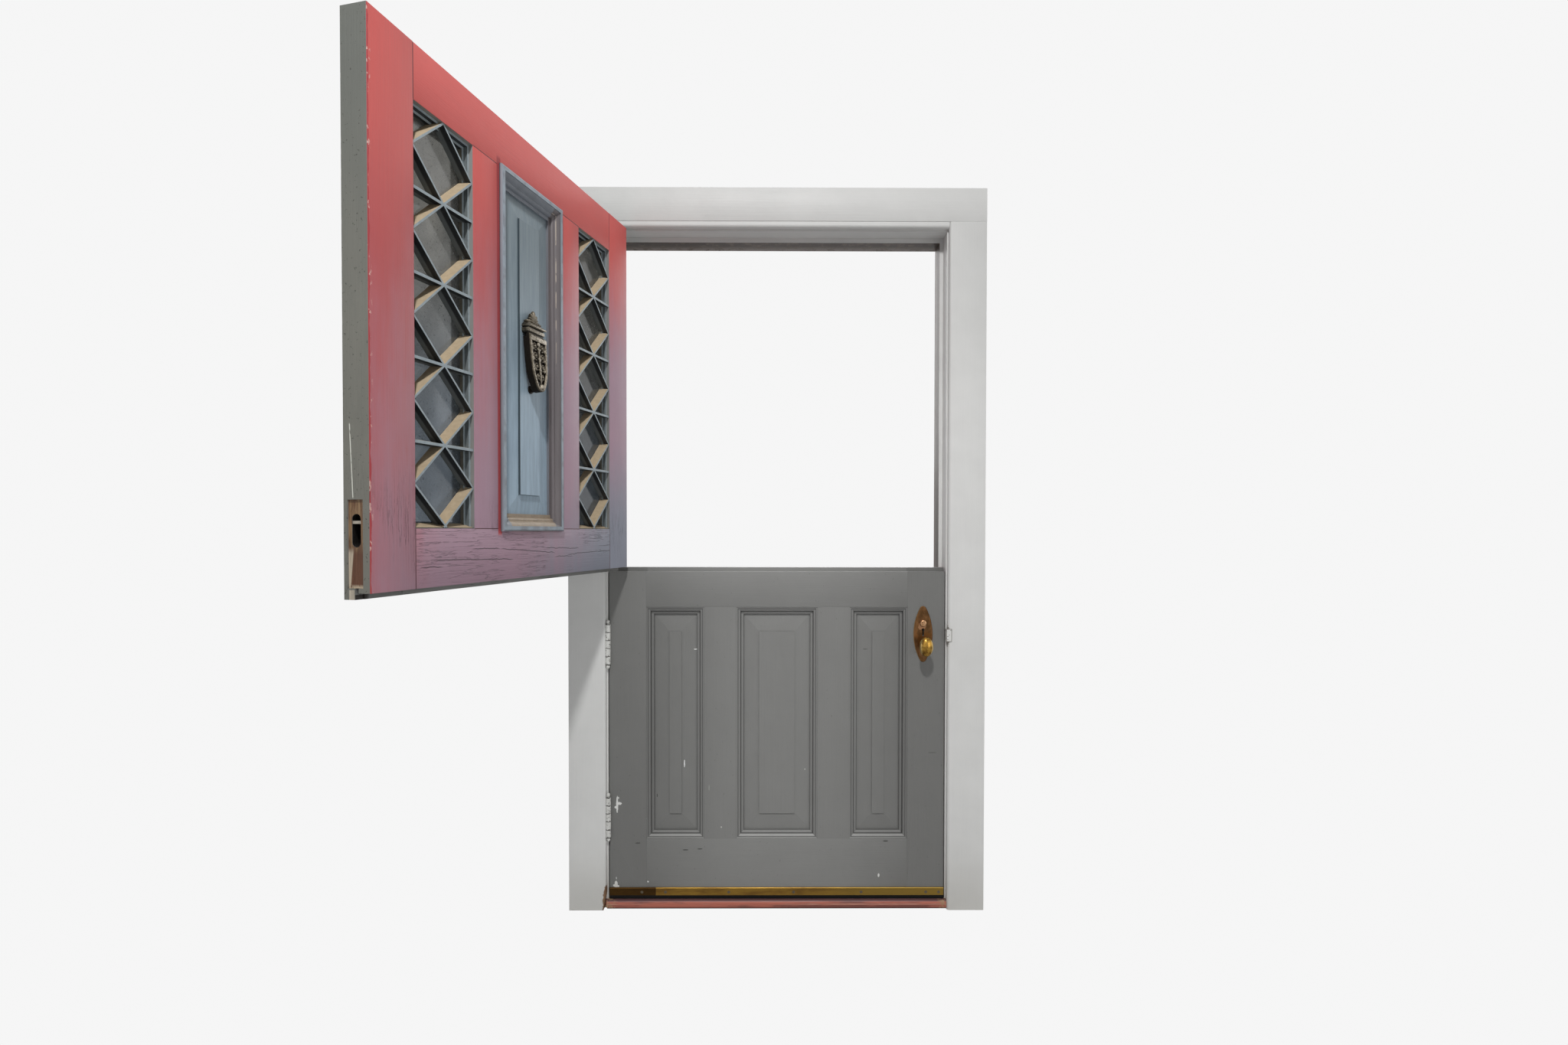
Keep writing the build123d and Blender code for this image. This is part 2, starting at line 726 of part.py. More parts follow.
def make_frame(sill):
    """Jambs, head, stops and casings, as they are nailed up round the opening."""
    pieces = {}
    pocket_y0 = middle - BOLT_THICK / 2 - POCKET_SLACK
    pocket_y1 = middle + BOLT_THICK / 2 + POCKET_SLACK
    half_bolt = BOLT_HEIGHT / 2 + POCKET_SLACK
    for name, side in (("left", -1), ("right", 1)):
        x0, x1 = sorted((side * jamb_face, side * jamb_back))
        jamb = block(x0, x1, 0, JAMB_DEPTH, 0, soffit) - sill
        s0, s1 = sorted((side * jamb_face, side * (jamb_face - STOP_SIDE)))
        stop = block(s0, s1, STOP_FRONT, JAMB_DEPTH, 0, soffit) - sill
        c0, c1 = sorted((side * casing_edge, side * casing_outer))
        casing = block(c0, c1, -CASING_THICK, 0, 0, side_casing_top)
        inner = [
            edge
            for edge in casing.edges().filter_by(Axis.Z)
            if abs(edge.center().X - side * casing_edge) < 0.1 and edge.center().Y < -1
        ]
        casing = fillet(inner, CASING_ROUND)
        if side < 0:
            for foot in LOWER_HINGES + UPPER_HINGES:
                jamb = jamb - plate_recess(foot, False)
                jamb = cut_all(jamb, screws_at(hinge_screw_places(foot, False), SCREW_SLACK))
                reach = TIP_HEIGHT + NOTCH_SLACK
                room = KNUCKLE_RADIUS + NOTCH_SLACK
                casing = casing - rod_z(axis_x, axis_y, foot - reach, foot + barrel + reach, room)
            worn = outline(
                (-casing_edge + 1, -1), (-casing_edge + 1, 58), (-casing_edge - 3, 40), (-casing_edge - 9, -1)
            )
            casing = casing - along_y(worn, -CASING_THICK - 1, 1)
        else:
            for centre, travel in ((KNOB_HEIGHT, LATCH_TRAVEL), (turn_height, DEADBOLT_TRAVEL)):
                deep = jamb_face + travel + POCKET_SLACK
                hole = (pocket_y0, pocket_y1, centre - half_bolt, centre + half_bolt)
                jamb = jamb - block(jamb_face - 1, deep, *hole)
            jamb = cut_all(jamb, [strike_blank(), strike_lip()])
            jamb = cut_all(jamb, screws_at(strike_screw_places(), SCREW_SLACK))
        pieces["jamb_" + name] = jamb
        pieces["stop_" + name] = stop
        pieces["casing_" + name] = casing
    pieces["head_jamb"] = block(-jamb_back, jamb_back, 0, JAMB_DEPTH, soffit, soffit + JAMB_THICK)
    inner = jamb_face - STOP_SIDE
    head_stop = block(-inner, inner, STOP_FRONT, JAMB_DEPTH, soffit - STOP_HEAD, soffit)
    pieces["stop_head"] = head_stop
    top = side_casing_top + HEAD_CASING
    pieces["casing_head"] = block(-casing_outer, casing_outer, -CASING_THICK, 0, side_casing_top, top)
    band = block(-casing_edge, casing_edge, -BAND_THICK, 0, band_foot, side_casing_top)
    front = [e for e in band.edges().filter_by(Axis.X) if e.center().Y < -1 and e.center().Z < band_foot + 1]
    pieces["casing_band"] = fillet(front, CASING_ROUND)
    return pieces


def strike_blank():
    """The strike plate's outline, flush in the jamb, without its holes."""
    return block(
        jamb_face,
        jamb_face + STRIKE_THICK,
        STRIKE_START,
        STRIKE_START + STRIKE_WIDTH,
        strike_foot,
        strike_top,
    )


def strike_screw_places():
    """A screw near each end of the strike plate."""
    y = STRIKE_START + STRIKE_WIDTH / 2
    inset = 10.0
    heights = (strike_foot + inset, strike_top - inset)
    return [Pos(jamb_face, y, z) * Rot(0, -90, 0) for z in heights]


def strike_lip():
    """The strike's lip, run forward from the plate to the front of the casing."""
    front = -CASING_THICK - STRIKE_LIP_GAP - STRIKE_THICK
    return block(
        jamb_face,
        jamb_face + STRIKE_THICK,
        front,
        STRIKE_START,
        lip_strike_foot,
        lip_strike_foot + STRIKE_LIP_HEIGHT,
    )


def make_strike():
    """A strike for latch and deadbolt, its lip turned over the casing's edge."""
    x0, x1 = jamb_face, jamb_face + STRIKE_THICK
    back = -CASING_THICK - STRIKE_LIP_GAP
    turned = block(
        x0,
        casing_edge + STRIKE_LIP_RETURN,
        back - STRIKE_THICK,
        back,
        lip_strike_foot,
        lip_strike_foot + STRIKE_LIP_HEIGHT,
    )
    plate = strike_blank() + strike_lip() + turned
    half_y = BOLT_THICK / 2 + POCKET_SLACK / 2
    half_z = BOLT_HEIGHT / 2 + POCKET_SLACK / 2
    for centre in (KNOB_HEIGHT, turn_height):
        plate = plate - block(
            x0 - 1, x1 + 1, middle - half_y, middle + half_y, centre - half_z, centre + half_z
        )
    return cut_all(plate, screws_at(strike_screw_places(), SCREW_SLACK))


# The lock of the lower leaf
lock_x = half_leaf - BACKSET
case_x1 = half_leaf - FACEPLATE_THICK
case_x0 = case_x1 - CASE_DEPTH
case_y0 = middle - CASE_THICK / 2
case_y1 = middle + CASE_THICK / 2
case_z0 = KNOB_HEIGHT - CASE_BELOW_KNOB
case_z1 = turn_height + CASE_ABOVE_TURN
shank_hole = SHANK_RADIUS + 1.5
turn_hole = TURN_SHAFT + 1.5


def keyhole(y0, y1):
    """A round eye above a narrow slot."""
    eye = keyhole_foot + KEYHOLE_EYE * 4.5
    half = KEYHOLE_WIDTH / 2
    return rod_y(lock_x, y0, y1, eye, KEYHOLE_EYE) + block(
        lock_x - half, lock_x + half, y0, y1, keyhole_foot, eye
    )


def make_escutcheon(outdoor):
    """A long oval plate with narrow rounded tips, bored for the knob and the turn."""
    foot, top = KNOB_HEIGHT - ESCUTCHEON_BELOW_KNOB, turn_height + ESCUTCHEON_ABOVE_TURN
    centre, half_h, half_w = (foot + top) / 2, (top - foot) / 2, ESCUTCHEON_WIDTH / 2
    side = half_w - ESCUTCHEON_TIP
    offset = ((half_h - ESCUTCHEON_TIP) ** 2 - side**2) / (2 * side)
    y0, y1 = (LEAF_THICK, LEAF_THICK + ESCUTCHEON_THICK) if outdoor else (-ESCUTCHEON_THICK, 0)
    lens = rod_y(lock_x + offset, y0, y1, centre, offset + half_w)
    lens = lens & rod_y(lock_x - offset, y0, y1, centre, offset + half_w)
    lens = fillet(lens.edges().filter_by(Axis.Y), ESCUTCHEON_TIP)
    outer_y = y1 if outdoor else y0
    rim = [edge for edge in lens.edges() if abs(edge.center().Y - outer_y) < 0.1]
    lens = fillet(rim, ESCUTCHEON_THICK * 0.6)
    lens = lens - rod_y(lock_x, y0 - 1, y1 + 1, KNOB_HEIGHT, SHANK_RADIUS + RUNNING_CLEARANCE)
    if not outdoor:
        lens = lens - rod_y(lock_x, y0 - 1, y1 + 1, turn_height, TURN_SHAFT + RUNNING_CLEARANCE)
    return lens - keyhole(y0 - 1, y1 + 1)


def knob_body(outdoor):
    """An egg-shaped knob on a round shank."""
    way = 1 if outdoor else -1
    face = LEAF_THICK if outdoor else 0
    centre = face + way * KNOB_STAND
    whole = Ellipse(KNOB_WIDE / 2, KNOB_TALL / 2)
    half = whole & Pos(KNOB_WIDE / 4, 0) * Rectangle(KNOB_WIDE / 2, KNOB_TALL)
    egg = revolve(Plane.XZ * half, Axis.Z)
    egg = scale(egg, (1, KNOB_DEEP / KNOB_WIDE, 1))
    inner = face - way * 4
    y0, y1 = sorted((inner, centre))
    shank = rod_y(lock_x, y0, y1, KNOB_HEIGHT, SHANK_RADIUS)
    c0, c1 = sorted((face + way * (ESCUTCHEON_THICK + 0.3), face + way * (ESCUTCHEON_THICK + 6)))
    collar = rod_y(lock_x, c0, c1, KNOB_HEIGHT, SHANK_RADIUS + 4)
    return Pos(lock_x, centre, KNOB_HEIGHT) * egg + shank + collar


def make_knobs():
    """Two knobs; the outdoor one carries the square spindle and its hub."""
    half = SPINDLE / 2
    inner_end = -KNOB_STAND + KNOB_DEEP / 4
    spindle = block(
        lock_x - half, lock_x + half, inner_end, LEAF_THICK, KNOB_HEIGHT - half, KNOB_HEIGHT + half
    )
    room = BOLT_THICK / 2
    hub = rod_y(lock_x, middle - room, middle + room, KNOB_HEIGHT, HUB_RADIUS)
    outdoor = knob_body(True) + spindle + hub
    slack = JOINT_SLACK
    socket = block(
        lock_x - half - slack,
        lock_x + half + slack,
        inner_end - slack,
        LEAF_THICK,
        KNOB_HEIGHT - half - slack,
        KNOB_HEIGHT + half + slack,
    )
    return outdoor, knob_body(False) - socket


def make_turn():
    """The indoor turn of the deadbolt: a low boss with a grip across it."""
    front = -ESCUTCHEON_THICK - 0.3
    boss = rod_y(lock_x, front - TURN_PROUD, front, turn_height, TURN_RADIUS)
    rim = [edge for edge in boss.edges() if edge.center().Y < front - TURN_PROUD + 0.1]
    boss = fillet(rim, TURN_PROUD * 0.6)
    grip = block(
        lock_x - 3, lock_x + 3, front - TURN_PROUD - 5, front - 1, turn_height - 8, turn_height + 8
    )
    shaft = rod_y(lock_x, front, middle + BOLT_THICK / 2, turn_height, TURN_SHAFT)
    hub = rod_y(lock_x, middle - BOLT_THICK / 2, middle + BOLT_THICK / 2, turn_height, HUB_RADIUS - 1)
    return boss + grip + shaft + hub


def make_bolt(height, nose):
    """A square bolt, drawn back so that only its nose stands past the faceplate."""
    start = lock_x + HUB_RADIUS + 1
    return block(
        start,
        half_leaf + nose,
        middle - BOLT_THICK / 2,
        middle + BOLT_THICK / 2,
        height - BOLT_HEIGHT / 2,
        height + BOLT_HEIGHT / 2,
    )


def bolt_window(height):
    """The opening that a bolt slides through."""
    room = BOLT_SLACK
    return block(
        case_x1 - CASE_WALL - 1,
        half_leaf + 1,
        middle - BOLT_THICK / 2 - room,
        middle + BOLT_THICK / 2 + room,
        height - BOLT_HEIGHT / 2 - room,
        height + BOLT_HEIGHT / 2 + room,
    )


def lock_holes():
    """Round holes through the stile for the knob shanks, the turn and the key."""
    return [
        rod_y(lock_x, -1, LEAF_THICK + 1, KNOB_HEIGHT, shank_hole),
        rod_y(lock_x, -1, middle, turn_height, turn_hole),
        keyhole(-1, LEAF_THICK + 1),
    ]


def faceplate_screw_places():
    """A screw near each end of the faceplate."""
    beyond = FACEPLATE_LAP - 6.0
    heights = (case_z0 - beyond, case_z1 + beyond)
    return [Pos(half_leaf, middle, z) * Rot(0, 90, 0) for z in heights]


def make_lock_case():
    """A hollow case let into the stile, open where bolts, spindle and key pass."""
    wall = CASE_WALL
    case = block(case_x0, case_x1, case_y0, case_y1, case_z0, case_z1)
    case = case - block(
        case_x0 + wall, case_x1 - wall, case_y0 + wall, case_y1 - wall, case_z0 + wall, case_z1 - wall
    )
    case = cut_all(case, lock_holes())
    return cut_all(case, [bolt_window(KNOB_HEIGHT), bolt_window(turn_height)])


def faceplate_blank():
    """The faceplate's outline, flush with the leaf's edge."""
    half_w = FACEPLATE_WIDTH / 2
    return block(
        case_x1,
        half_leaf,
        middle - half_w,
        middle + half_w,
        case_z0 - FACEPLATE_LAP,
        case_z1 + FACEPLATE_LAP,
    )


def make_faceplate():
    """The lock's faceplate with its two windows and screw holes."""
    plate = cut_all(faceplate_blank(), [bolt_window(KNOB_HEIGHT), bolt_window(turn_height)])
    return cut_all(plate, screws_at(faceplate_screw_places(), SCREW_SLACK))


def cut_for_lock(member):
    """A stile or rail mortised for the lock's case and drilled through for its shafts."""
    slack = CASE_SLACK
    pocket = block(
        case_x0 - slack,
        half_leaf,
        case_y0 - slack,
        case_y1 + slack,
        case_z0 - slack,
        case_z1 + slack,
    )
    return cut_all(member, [pocket] + lock_holes())


def fit_lock(stile):
    """The lock stile mortised for the case and its plate, and drilled."""
    stile = cut_for_lock(stile) - faceplate_blank()
    return cut_all(stile, screws_at(faceplate_screw_places(), SCREW_SLACK))


def fit_old_mortise(stile):
    """The upper leaf's free edge: a bare recess, a round-ended slot and a nick at the foot."""
    recess = block(
        half_leaf - RECESS_DEPTH,
        half_leaf + 1,
        RECESS_START,
        RECESS_START + RECESS_WIDTH,
        RECESS_FOOT,
        RECESS_FOOT + RECESS_HEIGHT,
    )
    radius = SLOT_WIDTH / 2
    y = SLOT_START + radius
    x0, x1 = half_leaf - SLOT_DEPTH, half_leaf + 1
    low, high = SLOT_FOOT + radius, SLOT_FOOT + SLOT_HEIGHT - radius
    slot = block(x0, x1, SLOT_START, SLOT_START + SLOT_WIDTH, low, high)
    slot = slot + rod_x(x0, x1, y, low, radius) + rod_x(x0, x1, y, high, radius)
    nick = block(
        half_leaf - NICK_DEPTH,
        half_leaf + 1,
        NICK_START,
        NICK_START + NICK_WIDTH,
        lip_foot - 1,
        upper_foot + NICK_RISE,
    )
    return cut_all(stile, [recess, slot, nick])


def make_slot_bar():
    """The flat bar that crosses the slot of the old mortise."""
    z0 = SLOT_FOOT + BAR_RISE
    x1 = half_leaf - BAR_SETBACK
    return block(x1 - BAR_THICK, x1, SLOT_START, SLOT_START + SLOT_WIDTH, z0, z0 + BAR_HEIGHT)


# The knocker
knocker_face = LEAF_THICK - FIELD_DEPTH
pivot_y = knocker_face + PIVOT_STAND
shield_y0 = pivot_y - SHIELD_BACK
shield_y1 = pivot_y + SHIELD_FRONT
shield_half = KNOCKER_WIDTH / 2
shield_top = KNOCKER_PIVOT - 1
knocker_tip = KNOCKER_FOOT + SHIELD_TAPER
anvil_z = KNOCKER_FOOT + ANVIL_RISE


def lug_spans():
    """The place of each lug along the pin."""
    half = LUG_THICK / 2
    return [(side * LUG_PLACE - half, side * LUG_PLACE + half) for side in (-1, 1)]


def shield_outline(inset):
    """A shield that narrows to a rounded foot, drawn in X and Z."""
    half = shield_half - inset
    top = shield_top - inset
    waist = KNOCKER_FOOT + 62
    foot_half = SHIELD_TAPER - inset * 0.6
    foot = knocker_tip - SHIELD_TAPER * 0.2 + inset
    return outline(
        (-half, top),
        (half, top),
        (half - 2, waist),
        (half - 7, waist - 28, foot_half, foot),
        (0, foot - foot_half * 0.8, -foot_half, foot),
        (-half + 7, waist - 28, -half + 2, waist),
    )


def make_knocker_plate():
    """The fixed part: a crest on a moulded cornice with two lugs for the pin, and a striking button."""
    half = KNOCKER_WIDTH / 2
    back = knocker_face
    z0 = CORNICE_FOOT
    z1 = CORNICE_FOOT + CORNICE_HEIGHT
    deep = CORNICE_DEPTH
    cornice = outline(
        (back, z0),
        (back + deep - 8, z0),
        (back + deep - 8, z0 + 4),
        (back + deep - 5, z0 + 5),
        (back + deep - 5, z0 + 12),
        (back + deep - 2, z0 + 15, back + deep, z0 + 18),
        (back + deep, z0 + 21),
        (back + deep - 6, z0 + 22),
        (back + deep - 6, z1),
        (back, z1),
    )
    plate = along_x(cornice, -half, half)
    top = KNOCKER_FOOT + KNOCKER_HEIGHT
    crest = outline(
        (-31, z1 - 1),
        (31, z1 - 1),
        (30, z1 + 4),
        (21, z1 + 8),
        (17, z1 + 17, 9, z1 + 22),
        (7, top - 4),
        (0, top, -7, top - 4),
        (-9, z1 + 22),
        (-17, z1 + 17, -21, z1 + 8),
        (-30, z1 + 4),
    )
    plate = plate + along_y(crest, back, back + CREST_DEPTH)
    for x0, x1 in lug_spans():
        plate = plate + block(x0, x1, back, pivot_y, KNOCKER_PIVOT - LUG_RADIUS, z0 + 1)
        plate = plate + rod_x(x0, x1, pivot_y, KNOCKER_PIVOT, LUG_RADIUS)
    plate = plate - rod_x(-half, half, pivot_y, KNOCKER_PIVOT, KNOCKER_PIN + RUNNING_CLEARANCE)
    lean = math.radians(SHIELD_LEAN)
    drop = KNOCKER_PIVOT - anvil_z - ANVIL_RADIUS - SHIELD_BACK * math.sin(lean)
    reach = pivot_y - SHIELD_BACK * math.cos(lean) + drop * math.tan(lean)
    button = rod_y(0, back, reach - STRIKER_GAP, anvil_z, ANVIL_RADIUS)
    return [plate, button]


def make_striker():
    """The swinging part: a deep shield-shaped bow with pierced leafwork, hung on its pin and leaned out."""
    bow = along_y(shield_outline(0), shield_y0, shield_y1)
    bow = bow - along_y(shield_outline(SHIELD_BAR), shield_y0 - 1, shield_y1 + 1)
    between = shield_half - SHIELD_BAR
    bow = bow - block(-between, between, shield_y0 - 1, pivot_y, shield_top - SHIELD_BAR - 1, shield_top + 1)
    inner = along_y(shield_outline(SHIELD_BAR / 2), shield_y0, shield_y1)
    leaf_y1 = shield_y1 - FOLIAGE_SINK
    leaf_y0 = leaf_y1 - FOLIAGE_THICK
    stem_half = 2.5
    foliage = block(-stem_half, stem_half, leaf_y0, leaf_y1, knocker_tip, shield_top)
    rows = 4
    first = KNOCKER_FOOT + 42
    pitch = (shield_top - first) / rows
    for row in range(rows):
        for side in (-1, 1):
            blade = Ellipse(17, 5.5)
            place = Pos(side * 14, 0, first + row * pitch + 6) * Rot(0, -side * 38, 0)
            leaf = place * extrude(Plane.XZ * blade, amount=FOLIAGE_THICK / 2, both=True)
            foliage = foliage + Pos(0, (leaf_y0 + leaf_y1) / 2, 0) * leaf
    roll = rod_x(-shield_half, shield_half, pivot_y, KNOCKER_PIVOT, ROLL_RADIUS)
    striker = bow + (foliage & inner) + roll
    room = ROLL_RADIUS + LUG_SLACK
    for x0, x1 in lug_spans():
        striker = striker - rod_x(x0 - LUG_SLACK, x1 + LUG_SLACK, pivot_y, KNOCKER_PIVOT, room)
    ball = Pos(0, shield_y1 - 3, knocker_tip) * Sphere(FOOT_BALL)
    striker = striker + (ball & block(-20, 20, pivot_y, shield_y1 + 8, KNOCKER_FOOT, knocker_tip + 20))
    bore = rod_x(-shield_half - 1, shield_half + 1, pivot_y, KNOCKER_PIVOT, KNOCKER_PIN + RUNNING_CLEARANCE)
    pin_line = Pos(0, pivot_y, KNOCKER_PIVOT)
    return pin_line * Rot(SHIELD_LEAN, 0, 0) * pin_line.inverse() * (striker - bore)


def make_knocker_pin():
    """The pin that the striker swings on."""
    half = KNOCKER_WIDTH / 2 - PIN_SINK
    return rod_x(-half, half, pivot_y, KNOCKER_PIVOT, KNOCKER_PIN)


# The sweep along the foot of the lower leaf
def make_strip():
    """Two lengths of flat brass with a small rolled lip along the top."""
    z0, z1 = STRIP_FOOT, STRIP_FOOT + STRIP_HEIGHT
    section = outline(
        (0, z0),
        (-STRIP_THICK, z0),
        (-STRIP_THICK, z1 - 2 * STRIP_LIP),
        (-STRIP_THICK - STRIP_LIP, z1 - STRIP_LIP, -STRIP_THICK, z1),
        (0, z1),
    )
    lengths = (
        (-half_leaf, STRIP_JOINT),
        (STRIP_JOINT + STRIP_JOINT_GAP, half_leaf),
    )
    lengths = [along_x(section, x0, x1) for x0, x1 in lengths]
    heads = screws_at(strip_screw_places(), SCREW_SLACK, STRIP_SCREW_LENGTH)
    return [cut_all(length, heads) for length in lengths]


def strip_screw_places():
    """The strip's screws, as they were put in."""
    z = STRIP_FOOT + STRIP_SCREW_RISE
    return [Pos(x, -STRIP_THICK, z) * Rot(90, 0, 0) for x in STRIP_SCREWS]


def make_seal():
    """The rubber under the strip, just clear of the sill."""
    return block(-half_leaf, half_leaf, -SEAL_THICK, 0, SILL_TOP + SEAL_SILL_GAP, STRIP_FOOT)


def fit_strip(piece):
    """A member of the leaf's foot, drilled for the strip's screws."""
    return cut_all(piece, screws_at(strip_screw_places(), SCREW_SLACK, STRIP_SCREW_LENGTH))


sill = make_sill()
nodes = {"sill": sill}
nodes.update(make_frame(sill))
nodes["strike_plate"] = make_strike()
all_hinges = LOWER_HINGES + UPPER_HINGES
nodes["hinge_plates_frame"] = [hinge_plate(foot, False) for foot in all_hinges]
nodes["hinge_pins"] = [hinge_pin(foot) for foot in all_hinges]
frame_places = [place for foot in all_hinges for place in hinge_screw_places(foot, False)]
nodes["screws_frame"] = screws_at(frame_places + strike_screw_places())

lower = leaf_frame(lower_board, lower_foot, lower_top, lower_open_foot, lower_open_top, all_spans)
lower["hinge_stile"] = fit_hinges(fit_strip(lower["hinge_stile"]), LOWER_HINGES)
lower["lock_stile"] = fit_lock(fit_strip(lower["lock_stile"]))
lower["bottom_rail"] = fit_strip(lower["bottom_rail"])
lower["top_rail"] = cut_for_lock(lower["top_rail"])
for name, piece in lower.items():
    nodes["lower_" + name] = piece
field_widths = (SIDE_FIELD_WIDTH, CENTRE_FIELD_WIDTH, SIDE_FIELD_WIDTH)
for name, span, field_width in zip(("hinge_side", "centre", "lock_side"), all_spans, field_widths):
    relief = (MOULDING_WIDTH, field_width, LOWER_BEVEL_END)
    nodes["lower_panel_" + name] = raised_panel(span, lower_open_foot, lower_open_top, relief, relief)
for name, face, outward in (("indoor", 0, -1), ("outdoor", LEAF_THICK, 1)):
    sticks = []
    for span in all_spans:
        sticks += mitred_sticks(
            span, lower_open_foot, lower_open_top, planted_section(), MOULDING_WIDTH, 0, face, outward
        )
    nodes["lower_mouldings_" + name] = sticks
nodes["hinge_plates_lower"] = [hinge_plate(foot, True) for foot in LOWER_HINGES]
lower_places = [place for foot in LOWER_HINGES for place in hinge_screw_places(foot, True)]
lower_screws = screws_at(lower_places + faceplate_screw_places())
nodes["screws_lower"] = lower_screws + screws_at(strip_screw_places(), 0.0, STRIP_SCREW_LENGTH)
nodes["sweep_strip"] = make_strip()
nodes["sweep_seal"] = make_seal()
nodes["escutcheon_indoor"] = make_escutcheon(False)
nodes["escutcheon_outdoor"] = make_escutcheon(True)
nodes["lock_case"] = make_lock_case()
nodes["lock_faceplate"] = make_faceplate()
nodes["knob_outdoor"], nodes["knob_indoor"] = make_knobs()
nodes["turn"] = make_turn()
nodes["latch_bolt"] = make_bolt(KNOB_HEIGHT, LATCH_NOSE)
nodes["deadbolt"] = make_bolt(turn_height, -BOLT_SLACK)

upper_nodes = {}
upper = leaf_frame(upper_board, lip_foot, upper_top, upper_open_foot, upper_open_top, (centre_span,))
upper["hinge_stile"] = fit_hinges(upper["hinge_stile"], UPPER_HINGES)
upper["lock_stile"] = fit_old_mortise(upper["lock_stile"])
for name, piece in upper.items():
    upper_nodes["upper_" + name] = piece
indoor_relief = (MOULDING_WIDTH, UPPER_FIELD_INDOOR, UPPER_BEVEL_END)
outdoor_relief = (BOLECTION_REACH, UPPER_FIELD_OUTDOOR, UPPER_BEVEL_END)
panel_sizes = (centre_span, upper_open_foot, upper_open_top)
upper_nodes["upper_panel"] = raised_panel(*panel_sizes, indoor_relief, outdoor_relief)
upper_nodes["upper_panel_moulding_indoor"] = mitred_sticks(
    *panel_sizes, planted_section(), MOULDING_WIDTH, 0, 0, -1
)
upper_nodes["upper_panel_moulding_outdoor"] = mitred_sticks(
    *panel_sizes, bolection_section(), BOLECTION_REACH, BOLECTION_LAP, LEAF_THICK, 1
)
surrounds = []
beads = []
panes = []
glass_y0 = LEAF_THICK - GLASS_DEPTH - GLASS_THICK
for name, span in zip(("hinge_side", "lock_side"), side_spans):
    surround = light_surround(span)
    surrounds += surround
    grille = lattice(span)
    upper_nodes["lattice_" + name] = cut_all(grille, surround)
    beads += mitred_sticks(
        span, upper_open_foot, upper_open_top, inner_bead_section(), INNER_BEAD_WIDTH, 0, 0, -1
    )
    inset = GLASS_SLACK
    panes.append(
        block(
            span[0] + inset,
            span[1] - inset,
            glass_y0,
            glass_y0 + GLASS_THICK,
            upper_open_foot + inset,
            upper_open_top - inset,
        )
    )
upper_nodes["light_surrounds"] = surrounds
upper_nodes["light_beads_indoor"] = beads
upper_nodes["glass_panes"] = panes
upper_nodes["hinge_plates_upper"] = [hinge_plate(foot, True) for foot in UPPER_HINGES]
upper_places = [place for foot in UPPER_HINGES for place in hinge_screw_places(foot, True)]
upper_nodes["screws_upper"] = screws_at(upper_places)
upper_nodes["slot_bar"] = make_slot_bar()
upper_nodes["knocker_plate"] = make_knocker_plate()
upper_nodes["knocker_striker"] = make_striker()
upper_nodes["knocker_pin"] = make_knocker_pin()

# The upper leaf stands open, turned about the line of the hinge pins
hinge_line = Axis((axis_x, axis_y, 0), (0, 0, 1))
for name, piece in upper_nodes.items():
    solids = piece if isinstance(piece, list) else [piece]
    nodes[name] = [solid.rotate(hinge_line, -OPEN_ANGLE) for solid in solids]

os.makedirs("parts", exist_ok=True)
for name, piece in nodes.items():
    shape = Compound(children=piece) if isinstance(piece, list) else piece
    export_step(shape, "parts/" + name + ".step")
print(len(nodes), "pieces written")
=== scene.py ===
"""An inward-opening stable door in its painted frame: lower leaf shut, upper leaf open."""

import json
import math

import bmesh
import bpy
from mathutils import Matrix, Vector

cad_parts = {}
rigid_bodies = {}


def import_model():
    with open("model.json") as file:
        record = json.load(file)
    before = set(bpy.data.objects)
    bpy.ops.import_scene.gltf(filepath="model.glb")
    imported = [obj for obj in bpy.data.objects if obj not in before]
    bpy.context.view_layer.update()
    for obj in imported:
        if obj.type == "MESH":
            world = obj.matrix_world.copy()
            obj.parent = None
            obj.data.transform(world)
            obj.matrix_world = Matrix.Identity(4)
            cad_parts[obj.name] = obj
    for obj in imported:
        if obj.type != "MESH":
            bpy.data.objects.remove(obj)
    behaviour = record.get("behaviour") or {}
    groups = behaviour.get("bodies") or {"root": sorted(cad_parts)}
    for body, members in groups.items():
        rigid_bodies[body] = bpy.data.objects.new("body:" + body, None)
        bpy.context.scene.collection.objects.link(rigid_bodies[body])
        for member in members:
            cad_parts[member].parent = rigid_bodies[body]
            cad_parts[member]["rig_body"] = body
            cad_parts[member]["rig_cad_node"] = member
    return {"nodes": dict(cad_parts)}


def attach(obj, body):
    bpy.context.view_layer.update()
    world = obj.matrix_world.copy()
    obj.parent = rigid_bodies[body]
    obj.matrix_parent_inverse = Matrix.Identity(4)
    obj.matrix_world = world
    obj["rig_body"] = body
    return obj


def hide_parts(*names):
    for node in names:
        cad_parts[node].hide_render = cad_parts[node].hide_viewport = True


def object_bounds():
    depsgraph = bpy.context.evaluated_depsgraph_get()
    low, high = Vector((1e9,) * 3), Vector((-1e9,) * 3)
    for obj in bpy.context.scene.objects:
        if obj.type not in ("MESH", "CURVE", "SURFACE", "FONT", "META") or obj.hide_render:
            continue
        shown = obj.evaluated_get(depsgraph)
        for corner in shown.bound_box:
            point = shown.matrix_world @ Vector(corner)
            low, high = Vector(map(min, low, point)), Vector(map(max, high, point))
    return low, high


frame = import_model()
part_low, part_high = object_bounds()
nodes = frame["nodes"]


# Sill
# One length of hardwood across the opening, its indoor edge rounded over.
# It is painted red-brown on the nose and worn to grey wood where feet cross it.
LIFT = 1.45


